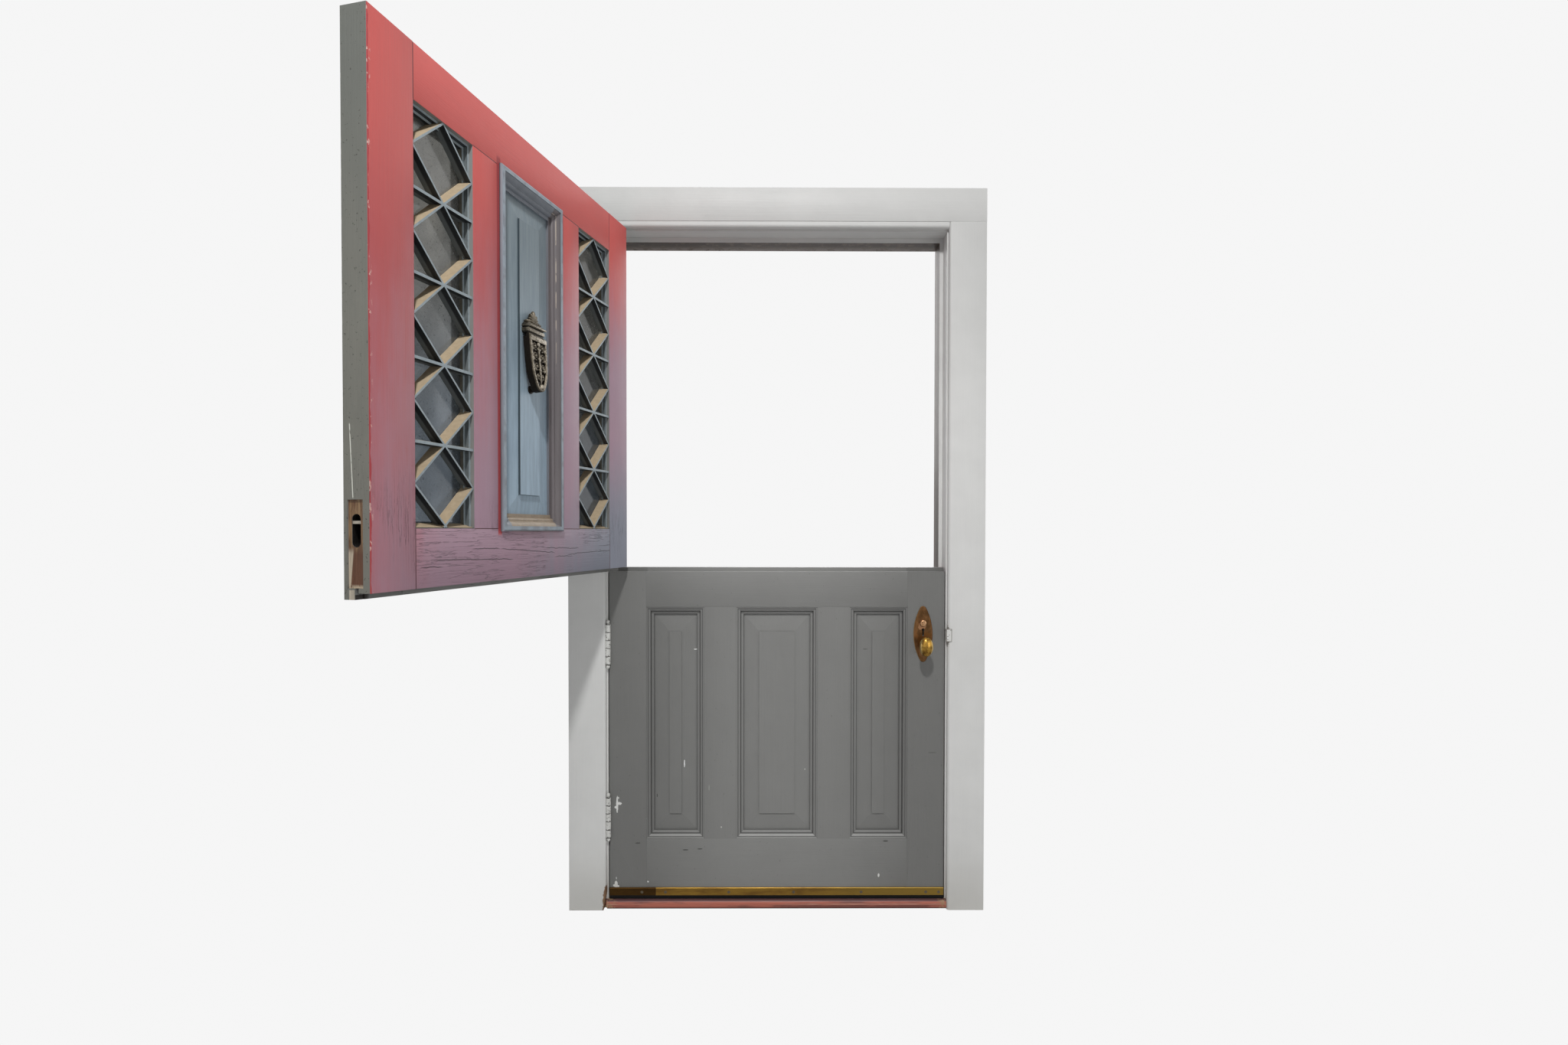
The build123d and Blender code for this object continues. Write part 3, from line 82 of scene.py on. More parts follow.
def colour(code):
    """A tone read under the room's light, lifted to the surface's own lightness."""
    values = [int(code[i : i + 2], 16) / 255 for i in (0, 2, 4)]
    linear = [v / 12.92 if v < 0.04045 else ((v + 0.055) / 1.055) ** 2.4 for v in values]
    return [min(v * LIFT, 0.95) for v in linear] + [1.0]


class Graph:
    """A tree of shader nodes, built node by node."""

    def __init__(self, tree):
        self.tree = tree
        tree.nodes.clear()

    def feed(self, socket, value):
        """Links a node's output, or sets a plain value or the tone of a code."""
        if isinstance(value, bpy.types.NodeSocket):
            self.tree.links.new(value, socket)
        else:
            socket.default_value = colour(value) if isinstance(value, str) else value

    def node(self, kind, feeds=(), **settings):
        """A node with its settings and what feeds its sockets."""
        made = self.tree.nodes.new(kind)
        for key, value in settings.items():
            setattr(made, key, value)
        for socket, value in dict(feeds).items():
            self.feed(made.inputs[socket], value)
        return made


class Finish(Graph):
    """A surface on Object coordinates."""

    def __init__(self, name, rough=0.5, metal=0.0):
        self.material = bpy.data.materials.new(name)
        self.material.use_nodes = True
        super().__init__(self.material.node_tree)
        self.shader = self.node("ShaderNodeBsdfPrincipled", {"Roughness": rough, "Metallic": metal})
        self.output = self.node("ShaderNodeOutputMaterial", {0: self.shader.outputs[0]})
        self.place = self.node("ShaderNodeTexCoord").outputs["Object"]

    def set(self, socket, value):
        """What one socket of the surface's shader gets."""
        self.feed(self.shader.inputs[socket], value)

    def axes(self):
        """The x, y and z of the place on the piece."""
        return self.node("ShaderNodeSeparateXYZ", {0: self.place}).outputs

    def facing(self, axis=2):
        """How far the surface faces along an axis, upwards unless another is asked for."""
        normal = self.node("ShaderNodeNewGeometry").outputs["Normal"]
        return self.node("ShaderNodeSeparateXYZ", {0: normal}).outputs[axis]

    def sum(self, operation, a, b=0.0, c=0.0):
        """One step of arithmetic."""
        return self.node("ShaderNodeMath", {0: a, 1: b, 2: c}, operation=operation).outputs[0]

    def line(self, value, slope, start):
        """A value times a slope, from a start."""
        return self.sum("MULTIPLY_ADD", value, slope, start)

    def less(self, a, b):
        """What is left of a after b."""
        return self.sum("SUBTRACT", a, b)

    def unsigned(self, value):
        """A value without its sign."""
        return self.sum("ABSOLUTE", value)

    def length(self, a, b):
        """The length of a step of a across and b up."""
        return self.sum("SQRT", self.line(a, a, self.sum("MULTIPLY", b, b)))

    def near(self, value, middle, out, full):
        """Off at one distance from a middle value and on at a smaller one."""
        return self.band(self.unsigned(self.less(value, middle)), out, full)

    def band(self, value, start, end):
        """0 at start and 1 at end, smooth between."""
        feeds = {"Value": value, "From Min": start, "From Max": end}
        return self.node("ShaderNodeMapRange", feeds, interpolation_type="SMOOTHSTEP").outputs[0]

    def both(self, *masks):
        """Where all the masks are on."""
        result = masks[0]
        for mask in masks[1:]:
            result = self.sum("MULTIPLY", result, mask)
        return result

    def either(self, *masks):
        """Where any of the masks is on."""
        result = masks[0]
        for mask in masks[1:]:
            result = self.sum("MAXIMUM", result, mask)
        return result

    def window(self, value, low, high, soft=0.0005):
        """On between two values."""
        return self.both(self.band(value, low, low + soft), self.band(value, high, high - soft))

    def blend(self, factor, a, b):
        """From colour a to colour b."""
        return self.node("ShaderNodeMix", {0: factor, 6: a, 7: b}, data_type="RGBA").outputs[2]

    def over(self, tone, *layers):
        """A tone with others laid over it in turn, each where its mask is on."""
        for mask, layer in layers:
            tone = self.blend(mask, tone, layer)
        return tone

    def scaled(self, tone, value):
        """A colour made lighter or darker."""
        return self.node("ShaderNodeVectorMath", {0: tone, 3: value}, operation="SCALE").outputs[0]

    def noise(self, scale, detail=2.0, stretch=(1, 1, 1), rough=0.5):
        """Cloudy noise; scale is in cycles a metre before it is stretched."""
        size = [scale * s for s in stretch]
        place = self.node("ShaderNodeMapping", {"Vector": self.place, "Scale": size}).outputs[0]
        feeds = {"Vector": place, "Scale": 1.0, "Detail": detail, "Roughness": rough}
        return self.node("ShaderNodeTexNoise", feeds).outputs[0]

    def spots(self, start, end, *noise):
        """Where cloudy noise passes from one level to another."""
        return self.band(self.noise(*noise), start, end)

    def bump(self, height, distance, below=None):
        """A height in the surface, of up to that distance in metres."""
        feeds = {"Height": height, "Distance": distance}
        if below is not None:
            feeds["Normal"] = below
        return self.node("ShaderNodeBump", feeds).outputs[0]

    def surface(self, tone, rough, height, depth):
        """Gives the surface its tone, its roughness and a height of up to that depth."""
        self.set("Base Color", tone)
        self.set("Roughness", rough)
        self.set("Normal", self.bump(height, depth))

    def patch(self, a, b, centre, size, ragged, noise_scale):
        """A ragged spot: centre and half-size are given along two axes."""
        across = self.sum("DIVIDE", self.less(a, centre[0]), size[0])
        up = self.sum("DIVIDE", self.less(b, centre[1]), size[1])
        edge = self.line(self.noise(noise_scale, 3.0), 2 * ragged, 1.0 - ragged)
        return self.band(self.sum("DIVIDE", self.length(across, up), edge), 1.0, 0.86)

    def brushed(self, tone, grain, sheen, depth, streak, cracks=None):
        """Paint with brush strokes along the grain, and slow waves."""
        along = {"x": (0.012, 1.0, 1.0), "z": (1.0, 1.0, 0.012)}[grain]
        strokes = self.noise(420.0, 3.0, along, 0.65)
        waves = self.noise(9.0, 3.0, (1, 1, 1), 0.55)
        tone = self.scaled(tone, self.line(strokes, streak, 1.0 - streak / 2))
        tone = self.scaled(tone, self.line(waves, 0.12, 0.94))
        self.set("Base Color", tone)
        self.set("Roughness", self.line(strokes, 0.18, sheen - 0.09))
        slow = self.bump(waves, 0.0015)
        if cracks is not None:
            slow = self.bump(cracks, 0.0012, slow)
        self.set("Normal", self.bump(strokes, depth, slow))
        return self


def coat(piece, finish):
    """Gives one piece its finish."""
    piece.data.materials.clear()
    piece.data.materials.append(finish.material)


def dress(finish, *names):
    """Gives kept CAD pieces their finish."""
    for name in names:
        coat(nodes[name], finish)


finish = Finish("sill_paint")
x, y, z = finish.axes()
nose = finish.band(y, 0.012, -0.004)
rubbed = finish.spots(0.45, 0.62, 30.0, 4.0, (0.12, 1, 1), 0.7)
# Painted shade darkens the foot and the top of the nose, and the glint along its middle is a
# painted highlight; the chips at the ends are wear.
low_shade, top_shade = finish.band(z, 0.012, 0.004), finish.band(z, 0.0225, 0.0275)
glint = finish.both(finish.window(z, 0.0145, 0.0205, 0.002), rubbed)
ends = finish.band(finish.unsigned(x), 0.505, 0.535)
chips = finish.both(ends, finish.spots(0.46, 0.54, 120.0, 4.0))
red = finish.blend(rubbed, "a8604f", "74433a")
red = finish.over(red, (low_shade, "4c2c28"), (top_shade, "54393b"))
red = finish.over(red, (glint, "b5806f"), (chips, "94785a"))
wood = finish.blend(finish.noise(60.0, 5.0, (0.06, 1, 1), 0.7), "7d6a5e", "4f4440")
finish.brushed(finish.blend(nose, wood, red), "x", 0.4, 0.0006, 0.2)
dress(finish, "sill")


# Jambs and head jamb
# Planed boards that line the opening, nailed at the corners.
# They are white indoors, and brown past the stops, where they meet the weather.
def outdoor_brown(finish, y):
    """Dark brown paint, near-black towards the indoor side and lighter towards the outdoor edge."""
    return finish.blend(finish.band(y, 0.085, 0.136), "33281f", "6b625c")


def old_white(finish, z):
    """Old white gloss, a little grey low down and in slow clouds, and darkened towards the top as
    painted shade.
    """
    tone = finish.blend(finish.noise(3.0, 3.0, (1, 1, 1), 0.6), "cfcfcd", "c3c3c1")
    # Painted shade: up to a quarter darker towards the top, where the lamp lights the frame more.
    tone = finish.scaled(tone, finish.line(finish.band(z, 1.3, 2.3), -0.25, 1.0))
    return finish.blend(finish.band(z, 0.25, 0.0), tone, "b9b8b4")


for grain, names in (("z", ("jamb_left", "jamb_right")), ("x", ("head_jamb",))):
    finish = Finish("jamb_paint_" + grain)
    _, y, z = finish.axes()
    past_stop = finish.band(y, 0.0598, 0.0602)
    tone = finish.blend(past_stop, old_white(finish, z), outdoor_brown(finish, y))
    dress(finish.brushed(tone, grain, 0.4, 0.0003, 0.06), *names)


# Stops
# Square strips nailed to the jambs and the head behind the shut leaves.
# Their indoor edge was painted with the white frame, and the rest is dark brown.
for grain, names in (("z", ("stop_left", "stop_right")), ("x", ("stop_head",))):
    finish = Finish("stop_paint_" + grain)
    _, y, z = finish.axes()
    worn = finish.spots(0.50, 0.62, 45.0, 4.0, (1, 1, 0.1), 0.7)
    brown = finish.blend(worn, outdoor_brown(finish, y), "4a3d33")
    tone = finish.blend(finish.band(y, 0.0602, 0.0604), old_white(finish, z), brown)
    dress(finish.brushed(tone, grain, 0.46, 0.0004, 0.2), *names)


# Casings and the band under the head casing
# Flat boards nailed over the wall's edge and the jambs; the head casing lies on the side casings.
# Many coats of white have rounded their edges, and hairlines show where the boards meet.
SHARP_ANGLE = 1.2
SHORTEST_EDGE = {"z": 0.05, "x": 0.1}


def pick(*pieces):
    """Selects only these objects, the first of them active."""
    bpy.ops.object.select_all(action="DESELECT")
    for piece in pieces:
        piece.select_set(True)
    bpy.context.view_layer.objects.active = pieces[0]


def enter(mode):
    """Into edit mode or back to object mode."""
    bpy.ops.object.mode_set(mode=mode)


def eased(name, width, direction):
    """A copy of a CAD piece whose long edges in one direction are rounded."""
    pick(nodes[name])
    bpy.ops.object.duplicate()
    copy = bpy.context.active_object
    body = copy["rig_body"]
    copy.parent = None
    del copy["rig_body"], copy["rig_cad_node"]
    copy.name = name + "_eased"
    bpy.ops.mesh.customdata_custom_splitnormals_clear()
    enter("EDIT")
    bpy.ops.mesh.select_all(action="SELECT")
    bpy.ops.mesh.remove_doubles(threshold=0.00001)
    bpy.ops.mesh.dissolve_limited(angle_limit=0.02)
    bpy.ops.mesh.select_mode(type="EDGE")
    bpy.ops.mesh.select_all(action="DESELECT")
    edges = bmesh.from_edit_mesh(copy.data)
    for edge in edges.edges:
        run = edge.verts[1].co - edge.verts[0].co
        upright = abs(run.z) > 0.999 * run.length
        level = abs(run.z) < 0.001 * run.length
        wanted = upright if direction == "z" else level
        corner = len(edge.link_faces) == 2 and edge.calc_face_angle(0.0) > SHARP_ANGLE
        edge.select = wanted and corner and run.length > SHORTEST_EDGE[direction]
    bmesh.update_edit_mesh(copy.data)
    bpy.ops.mesh.bevel(offset=width, segments=2, affect="EDGES", clamp_overlap=True)
    enter("OBJECT")
    bpy.ops.object.shade_smooth_by_angle(angle=0.6)
    copy.select_set(False)
    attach(copy, body)
    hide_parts(name)
    return copy


def casing_paint(name, grain):
    """White gloss with bare wood at one worn corner and a rubbed patch by the strike plate."""
    finish = Finish(name)
    x, _, z = finish.axes()
    corner = finish.patch(x, z, (-0.5405, 0.02), (0.012, 0.06), 0.5, 90.0)
    raw = finish.blend(finish.noise(140.0, 4.0, (1, 1, 0.2)), "8a6a4c", "3d2c20")
    rubbed = finish.patch(x, z, (0.5405, 0.872), (0.006, 0.034), 0.6, 220.0)
    tone = finish.over(old_white(finish, z), (corner, raw), (rubbed, "8d8a84"))
    return finish.brushed(tone, grain, 0.5, 0.0003, 0.05)


upright_white = casing_paint("casing_paint_upright", "z")
level_white = casing_paint("casing_paint_level", "x")
for name in ("casing_left", "casing_right"):
    coat(eased(name, 0.0018, "z"), upright_white)
coat(eased("casing_head", 0.0018, "x"), level_white)
dress(level_white, "casing_band")


# Strike plate
# Bent steel let into the right jamb, its lip turned over the casing's edge.
# It was painted in with the frame, and the lip is rubbed to the metal by the bolts.
LIP_EDGE = 0.5525
LIP_MIDDLE = 0.875
finish = Finish("strike_paint", 0.4)
x, y, z = finish.axes()
outer = finish.band(x, LIP_EDGE - 0.0022, LIP_EDGE - 0.0012)
ends = finish.band(finish.unsigned(finish.less(z, LIP_MIDDLE)), 0.0180, 0.0190)
rim = finish.both(finish.either(outer, ends), finish.band(y, -0.0185, -0.0190), 0.85)
chips = finish.either(finish.spots(0.62, 0.66, 150.0, 4.0), rim)
steel = finish.blend(finish.noise(300.0), "6e675c", "4a4540")
finish.set("Base Color", finish.blend(chips, "c9c9c6", steel))
finish.set("Normal", finish.bump(chips, 0.0004))
dress(finish, "strike_plate")


# Hinges on the frame
# Four steel butt hinges with ball tips: leaves, knuckles, loose pins and screws.
# They were painted over again and again, and the paint has cracked round each knuckle.
KNUCKLE = 0.0254
HINGE_FEET = (0.230, 0.781, 1.246, 1.842)


def hinge_coat(name, bare_code, amount):
    """White paint over steel, broken where the metal moves."""
    finish = Finish(name, 0.42)
    x, _, z = finish.axes()
    bare = finish.spots(amount, amount + 0.04, 230.0, 4.0, (1, 1, 1), 0.6)
    metal = finish.blend(finish.noise(420.0), bare_code, "2c2a27")
    drips = finish.noise(70.0, 3.0)
    white = finish.blend(drips, "cfcfcc", "b9b9b4")
    height = finish.sum("ADD", z, finish.line(finish.noise(120.0, 2.0), 0.008, -0.004))
    for foot in HINGE_FEET:
        step = finish.sum("WRAP", finish.less(height, foot), KNUCKLE / 2, -KNUCKLE / 2)
        near = finish.window(z, foot - 0.004, foot + 5 * KNUCKLE + 0.004, 0.002)
        seam = finish.band(finish.unsigned(step), 0.0017, 0.0008)
        bare = finish.either(bare, finish.both(seam, near, finish.band(x, -0.5265, -0.5285)))
    finish.set("Base Color", finish.blend(bare, white, metal))
    finish.set("Normal", finish.bump(finish.less(1.0, bare), 0.0008, finish.bump(drips, 0.0012)))
    return finish


painted_hinge = hinge_coat("hinge_paint", "3f3b37", 0.60)
dress(painted_hinge, "hinge_plates_frame", "hinge_pins")
dress(hinge_coat("frame_screw_paint", "4d4943", 0.55), "screws_frame")


# Lower leaf: stiles, rails and mullions
# Mortised and tenoned softwood, flush on both faces, with an upstand behind the upper leaf's lip.
# Warm grey paint indoors, red outdoors; the arrises are slightly rounded.
HALF_LEAF = 0.5335
LEAF_BACK = (0.0560, 0.0564)
PANEL_MIDDLE = (0.0284, 0.0286)
STILE_EDGE = 0.4155
MULLION_SPAN = (0.1295, 0.2315)
OPEN_FOOT, OPEN_TOP = 1.209, 2.037
OPEN = math.radians(104)
HINGE_LINE = Vector((-0.535, -0.0095, 0.0))
GREY_MARKS = (
    (-509, 330, 3.5, 28, "cfcfcc"),
    (-503, 334, 9, 5, "cfcfcc"),
    (-513, 322, 6, 4, "cfcfcc"),
    (-505, 352, 3, 4, "b9b9b6"),
    (-513, 75, 5.5, 11, "c9c8c4"),
    (-507, 69, 5, 3.5, "c9c8c4"),
    (-519, 71, 4, 4, "c9c8c4"),
    (-512, 94, 2, 4, "a9a9a6"),
    (-411, 83, 3, 3, "c9c9c6"),
    (-296, 458, 2.2, 13, "d6d6d4"),
    (-259, 825, 8, 2, "d0d0ce"),
    (326, 103, 3, 6, "c9c9c6"),
    (90, 439, 2, 2, "b9b9b6"),
    (-413, 285, 3, 4, "a9a9a6"),
    (-177, 258, 2.5, 3, "a9a9a6"),
    (-216, 385, 2, 10, "8d8d8a"),
    (-291, 185, 10, 2.2, "444442"),
    (-245, 188, 8, 2.2, "464644"),
    (-443, 207, 9, 2.2, "444442"),
    (348, 213, 9, 2.5, "3f3f3d"),
    (-384, 354, 1.5, 6, "3f3f3d"),
    (497, 497, 14, 1.8, "555553"),
    (283, 826, 8, 1.8, "5a5a58"),
)
SPLITS = (
    (0.133, 0.245, 1.164, 1.166),
    (-0.107, 0.140, 1.148, 1.164),
    (-0.233, -0.051, 1.157, 1.162),
    (-0.433, -0.161, 1.147, 1.142),
    (0.080, 0.370, 1.138, 1.146),
    (0.330, 0.410, 1.131, 1.131),
    (-0.202, -0.097, 1.137, 1.139),
)


def leaf_finish(name, open_leaf):
    """A finish laid out on the shut leaf, whichever way the leaf stands."""
    finish = Finish(name)
    if open_leaf:
        shift = HINGE_LINE - Matrix.Rotation(OPEN, 3, "Z") @ HINGE_LINE
        feeds = {"Vector": finish.place, "Location": shift, "Rotation": (0, 0, OPEN)}
        finish.place = finish.node("ShaderNodeMapping", feeds).outputs[0]
    return finish


def grey_with_painted_light(finish, x):
    """Warm grey with a painted pool of light, lighter in the middle of the leaf."""
    middle = finish.band(finish.unsigned(x), 0.5, 0.1)
    return finish.blend(middle, "696967", "7b7b79")


def grey_marks(finish, x, z, tone):
    """The lower leaf's chips, ticks and dents, in millimetres on the leaf."""
    for across, up, wide, tall, code in GREY_MARKS:
        place, size = (across / 1000, up / 1000), (wide / 1000, tall / 1000)
        tone = finish.blend(finish.patch(x, z, place, size, 0.45, 190.0), tone, code)
    return tone


def faded_red(finish, x, z):
    """Red that bleaches mauve towards the foot and the hinge side, and grey at that corner."""
    down = finish.both(finish.less(2.147, z), 1 / 1.068)
    over = finish.line(x, -1 / 1.067, 0.5)
    bleach = finish.both(down, finish.line(over, 0.95, 0.43))
    streaks = finish.line(finish.noise(26.0, 4.0, (1, 1, 0.15), 0.6), 0.26, -0.13)
    bleach = finish.sum("ADD", bleach, streaks)
    fresh = finish.blend(finish.band(z, 1.65, 2.05), "a84a4b", "bb5450")
    mauve, grey = finish.band(bleach, 0.11, 0.62), finish.band(bleach, 0.76, 1.20)
    return finish.over(fresh, (mauve, "987c8a"), (grey, "7f828e"))


def long_splits(finish, x, z):
    """The long cracks that run along the bottom rail of the upper leaf."""
    wander = finish.line(finish.noise(45.0, 3.0, (1, 1, 0.2)), 0.006, -0.003)
    height = finish.sum("ADD", z, wander)
    splits = []
    for x0, x1, z0, z1 in SPLITS:
        slope = (z1 - z0) / (x1 - x0)
        at_line = finish.near(height, finish.line(x, slope, z0 - x0 * slope), 0.0014, 0.0005)
        splits.append(finish.both(at_line, finish.window(x, x0, x1, 0.02)))
    return finish.either(*splits)


def joint_lines(finish, x, z):
    """Hairlines where the rails meet the stiles and the mullions meet the rails."""
    across = finish.unsigned(x)
    in_foot = finish.band(z, OPEN_FOOT, OPEN_FOOT - 0.0002)
    in_head = finish.band(z, OPEN_TOP, OPEN_TOP + 0.0002)
    at_foot, at_head = (finish.near(z, level, 0.0014, 0.0006) for level in (OPEN_FOOT, OPEN_TOP))
    at_rails = finish.both(finish.either(at_foot, at_head), finish.window(across, *MULLION_SPAN))
    at_stiles = finish.near(across, STILE_EDGE, 0.0015, 0.0006)
    return finish.either(at_rails, finish.both(at_stiles, finish.either(in_foot, in_head)))


def outdoor_red(finish, x, z, grain):
    """Faded red with wrinkles, joints and rubbed arrises, and the depth of its cracks."""
    along = (0.045, 1, 1) if grain == "x" else (1, 1, 0.045)
    wrinkle = finish.near(finish.noise(150.0, 4.0, along, 0.6), 0.5, 0.016, 0.003)
    patchy = finish.spots(0.42, 0.58, 7.0, 2.0)
    deep = finish.both(wrinkle, patchy, finish.line(finish.band(z, 1.36, 1.16), 0.45, 0.05))
    if grain == "x":
        deep = finish.either(deep, long_splits(finish, x, z))
    # Beside the moulding on the lock side the red is deeper: red kept from fading there, and
    # painted shade cast by the moulding.
    beside = finish.window(x, 0.130, 0.1470, 0.003)
    sheltered_and_shaded = finish.both(beside, finish.window(z, 1.19, 2.06, 0.01))
    ragged = finish.line(finish.noise(70.0, 4.0, (1, 1, 0.3)), 0.012, 0.5235)
    arris = finish.band(finish.less(x, ragged), 0.0, 0.0012)
    flecks = finish.spots(0.62, 0.66, 150.0, 3.0, (1, 1, 0.5))
    bits = finish.both(finish.band(x, 0.522, 0.530), flecks)
    red = faded_red(finish, x, z)
    red = finish.over(
        red,
        (deep, finish.scaled(red, 0.30)),
        (joint_lines(finish, x, z), "4b2a2c"),
        (sheltered_and_shaded, "993a3c"),
        (arris, "9a3338"),
        (bits, "c39a92"),
    )
    return red, deep


def dull_edge(finish, x, y, z, tone):
    """The free edge's dull paint, with specks, and rubbed along its indoor arris."""
    edge = finish.blend(finish.noise(22.0, 4.0, (1, 1, 0.3), 0.65), "79776f", "62635d")
    high, specks = finish.band(z, 1.5, 2.1), finish.spots(0.66, 0.70, 190.0, 3.0)
    rubs = finish.spots(0.54, 0.60, 80.0, 4.0, (1, 1, 0.4))
    rubs = finish.both(finish.band(y, 0.0022, 0.0004), rubs)
    edge = finish.over(edge, (high, "5f615c"), (specks, "45443f"), (rubs, "aaa79e"))
    at_edge = finish.band(x, HALF_LEAF - 0.0008, HALF_LEAF - 0.0002)
    return finish.blend(finish.both(at_edge, finish.band(y, 0.0566, 0.0560)), tone, edge)


def member_paint(name, grain, open_leaf, details=None):
    """Grey indoors, red outdoors, and the dulled edges of the leaf between them."""
    finish = leaf_finish(name, open_leaf)
    x, y, z = finish.axes()
    grey = grey_with_painted_light(finish, x)
    if open_leaf:
        red, deep = outdoor_red(finish, x, z, grain)
        tone = dull_edge(finish, x, y, z, finish.blend(finish.band(y, *LEAF_BACK), grey, red))
        look = (0.46, 0.0005, 0.18, deep)
    else:
        tone = finish.blend(finish.band(y, *LEAF_BACK), grey_marks(finish, x, z, grey), "a34c4f")
        pocks = finish.spots(0.67, 0.71, 140.0, 3.0, (1, 1, 0.6))
        tone = finish.blend(pocks, tone, finish.scaled(tone, 0.82))
        look = (0.46, 0.0004, 0.11)
    if details:
        tone = details(finish, x, y, z, tone)
        look = (0.5, 0.0006, 0.16, deep)
    return finish.brushed(tone, grain, *look)


def build_leaf(leaf, width, details=None):
    """Rounds the arrises of one leaf's stiles, mullions and rails, and paints them."""
    open_leaf = leaf == "upper"
    upright = member_paint(leaf + "_leaf_paint_upright", "z", open_leaf, details)
    level = member_paint(leaf + "_leaf_paint_level", "x", open_leaf)
    for member in ("hinge_stile", "lock_stile", "mullion_hinge_side", "mullion_lock_side"):
        coat(eased(f"{leaf}_{member}", width, "z"), upright)
    for member in ("top_rail", "bottom_rail"):
        coat(eased(f"{leaf}_{member}", width, "x"), level)


build_leaf("lower", 0.0007)


# Lower leaf: panels and their mouldings
# Raised and fielded panels float in grooves, held by mitred mouldings on both faces.
# They have the leaf's grey indoors; outdoors the panels are blue-grey, as on the upper leaf.
LOWER_FOOT, LOWER_TOP = 0.221, 0.962
MOULDING_STEPS = (0.0042, 0.0128, 0.0218)


def chalky_blue_with_painted_shade(finish, z):
    """Blue-grey paint with pale, chalky streaks, darker high up as painted shade under the
    moulding.
    """
    streaks = finish.spots(0.30, 0.72, 110.0, 4.0, (1, 1, 0.08), 0.65)
    low, high = finish.blend(streaks, "8496a4", "94a7b5"), finish.blend(streaks, "6b777e", "758085")
    # Painted shade: darker tones high up, for the moulding's shade over the field.
    return finish.blend(finish.band(z, 1.35, 1.95), low, high)


def panel_paint(name, open_leaf):
    """Grey indoors, blue outdoors, and a line of painted shade beside the upper panel's field."""
    finish = leaf_finish(name, open_leaf)
    x, y, z = finish.axes()
    grey = grey_with_painted_light(finish, x)
    if not open_leaf:
        grey = grey_marks(finish, x, z, grey)
    # Painted shade: a dark line on the field's step at its lock side and along its foot.
    side = finish.both(finish.window(x, 0.0420, 0.0450), finish.window(z, 1.289, 1.957))
    foot = finish.both(finish.window(z, 1.2900, 1.2925), finish.window(x, -0.0445, 0.0445), 0.5)
    line = finish.both(finish.either(side, foot), finish.band(y, 0.0444, 0.0448))
    blue = finish.blend(line, chalky_blue_with_painted_shade(finish, z), "353f45")
    tone = finish.blend(finish.band(y, *PANEL_MIDDLE), grey, blue)
    return finish.brushed(tone, "z", 0.45, 0.0003, 0.09)


def moulding_wear(finish, x, y, z, violet):
    """The bold moulding's hinge side in painted shade with a painted highlight streak, its dusty
    foot, a painted highlight on the outer bead, and the seam on the frame.
    """
    across = finish.unsigned(x)
    inner = finish.both(finish.band(y, 0.0634, 0.0628), finish.band(across, 0.1300, 0.1290))
    # Painted shade: the inner faces on the hinge side are dark brown-grey.
    shaded = finish.both(inner, finish.band(x, -0.0925, -0.0945))
    brown = finish.blend(finish.noise(60.0, 4.0, (1, 1, 0.1)), "6b6566", "484345")
    broken = finish.spots(0.46, 0.54, 90.0, 4.0, (1, 1, 0.25))
    # Painted highlight: a broken pale streak along the shaded side, high up.
    worn = finish.both(shaded, finish.window(y, 0.0552, 0.0570), broken, finish.band(z, 1.55, 1.80))
    foot = finish.both(inner, finish.band(z, 1.2455, 1.2445), finish.band(across, 0.1000, 0.0980))
    dust = finish.blend(finish.noise(90.0, 4.0), "93836f", "6f6254")
    # Painted highlight: a broken pale line along the outer bead.
    bead = finish.both(finish.band(y, 0.0643, 0.0649), finish.spots(0.30, 0.60, 30.0, 3.0), 0.5)
    seam = finish.both(finish.window(y, 0.0568, 0.0588), finish.band(across, 0.1345, 0.1352))
    layers = (shaded, brown), (worn, "a89b8c"), (foot, dust), (bead, "98a6b1"), (seam, "3a3f44")
    return finish.over(violet, *layers)


def step_shade_and_light(finish, x, z, grey):
    """Painted shade along the moulding's steps, strongest at the head, and painted light on the
    steps at its foot.
    """
    across = finish.unsigned(x)
    past_mullion, to_stile = finish.less(across, MULLION_SPAN[1]), finish.less(STILE_EDGE, across)
    beside = finish.sum("MINIMUM", past_mullion, to_stile)
    within = finish.either(finish.less(MULLION_SPAN[0], across), beside)
    above, below = finish.less(z, LOWER_FOOT), finish.less(LOWER_TOP, z)
    reach = finish.sum("MINIMUM", within, finish.sum("MINIMUM", above, below))
    # Painted shade: dark lines along the steps, strongest at the head and weakest at the foot.
    step_shade = finish.either(*(finish.window(reach, step, step + 0.0032) for step in MOULDING_STEPS))
    at_foot = finish.band(finish.less(above, within), 0.0003, -0.0003)
    at_head = finish.band(finish.less(below, within), 0.0003, -0.0003)
    dark = finish.line(at_foot, -0.30, finish.line(at_head, 0.30, 0.62))
    grey = finish.blend(finish.both(step_shade, dark), grey, "262626")
    # Painted light: the steps at the foot are made half again as bright.
    steps = finish.both(at_foot, finish.less(1.0, step_shade), finish.band(reach, 0.0250, 0.0240))
    return finish.blend(steps, grey, finish.scaled(grey, 1.5))


def moulding_paint(name, open_leaf):
    """Grey indoors with painted shade and light on the steps, and a duller, more violet blue
    outdoors.
    """
    finish = leaf_finish(name, open_leaf)
    x, y, z = finish.axes()
    grey = grey_with_painted_light(finish, x)
    violet = finish.blend(finish.noise(40.0, 4.0, (1, 1, 0.2), 0.6), "7d828b", "62666b")
    if open_leaf:
        violet = moulding_wear(finish, x, y, z, violet)
    else:
        grey = step_shade_and_light(finish, x, z, grey)
    tone = finish.blend(finish.band(y, *PANEL_MIDDLE), grey, violet)
    return finish.brushed(tone, "z", 0.42, 0.0003, 0.1)


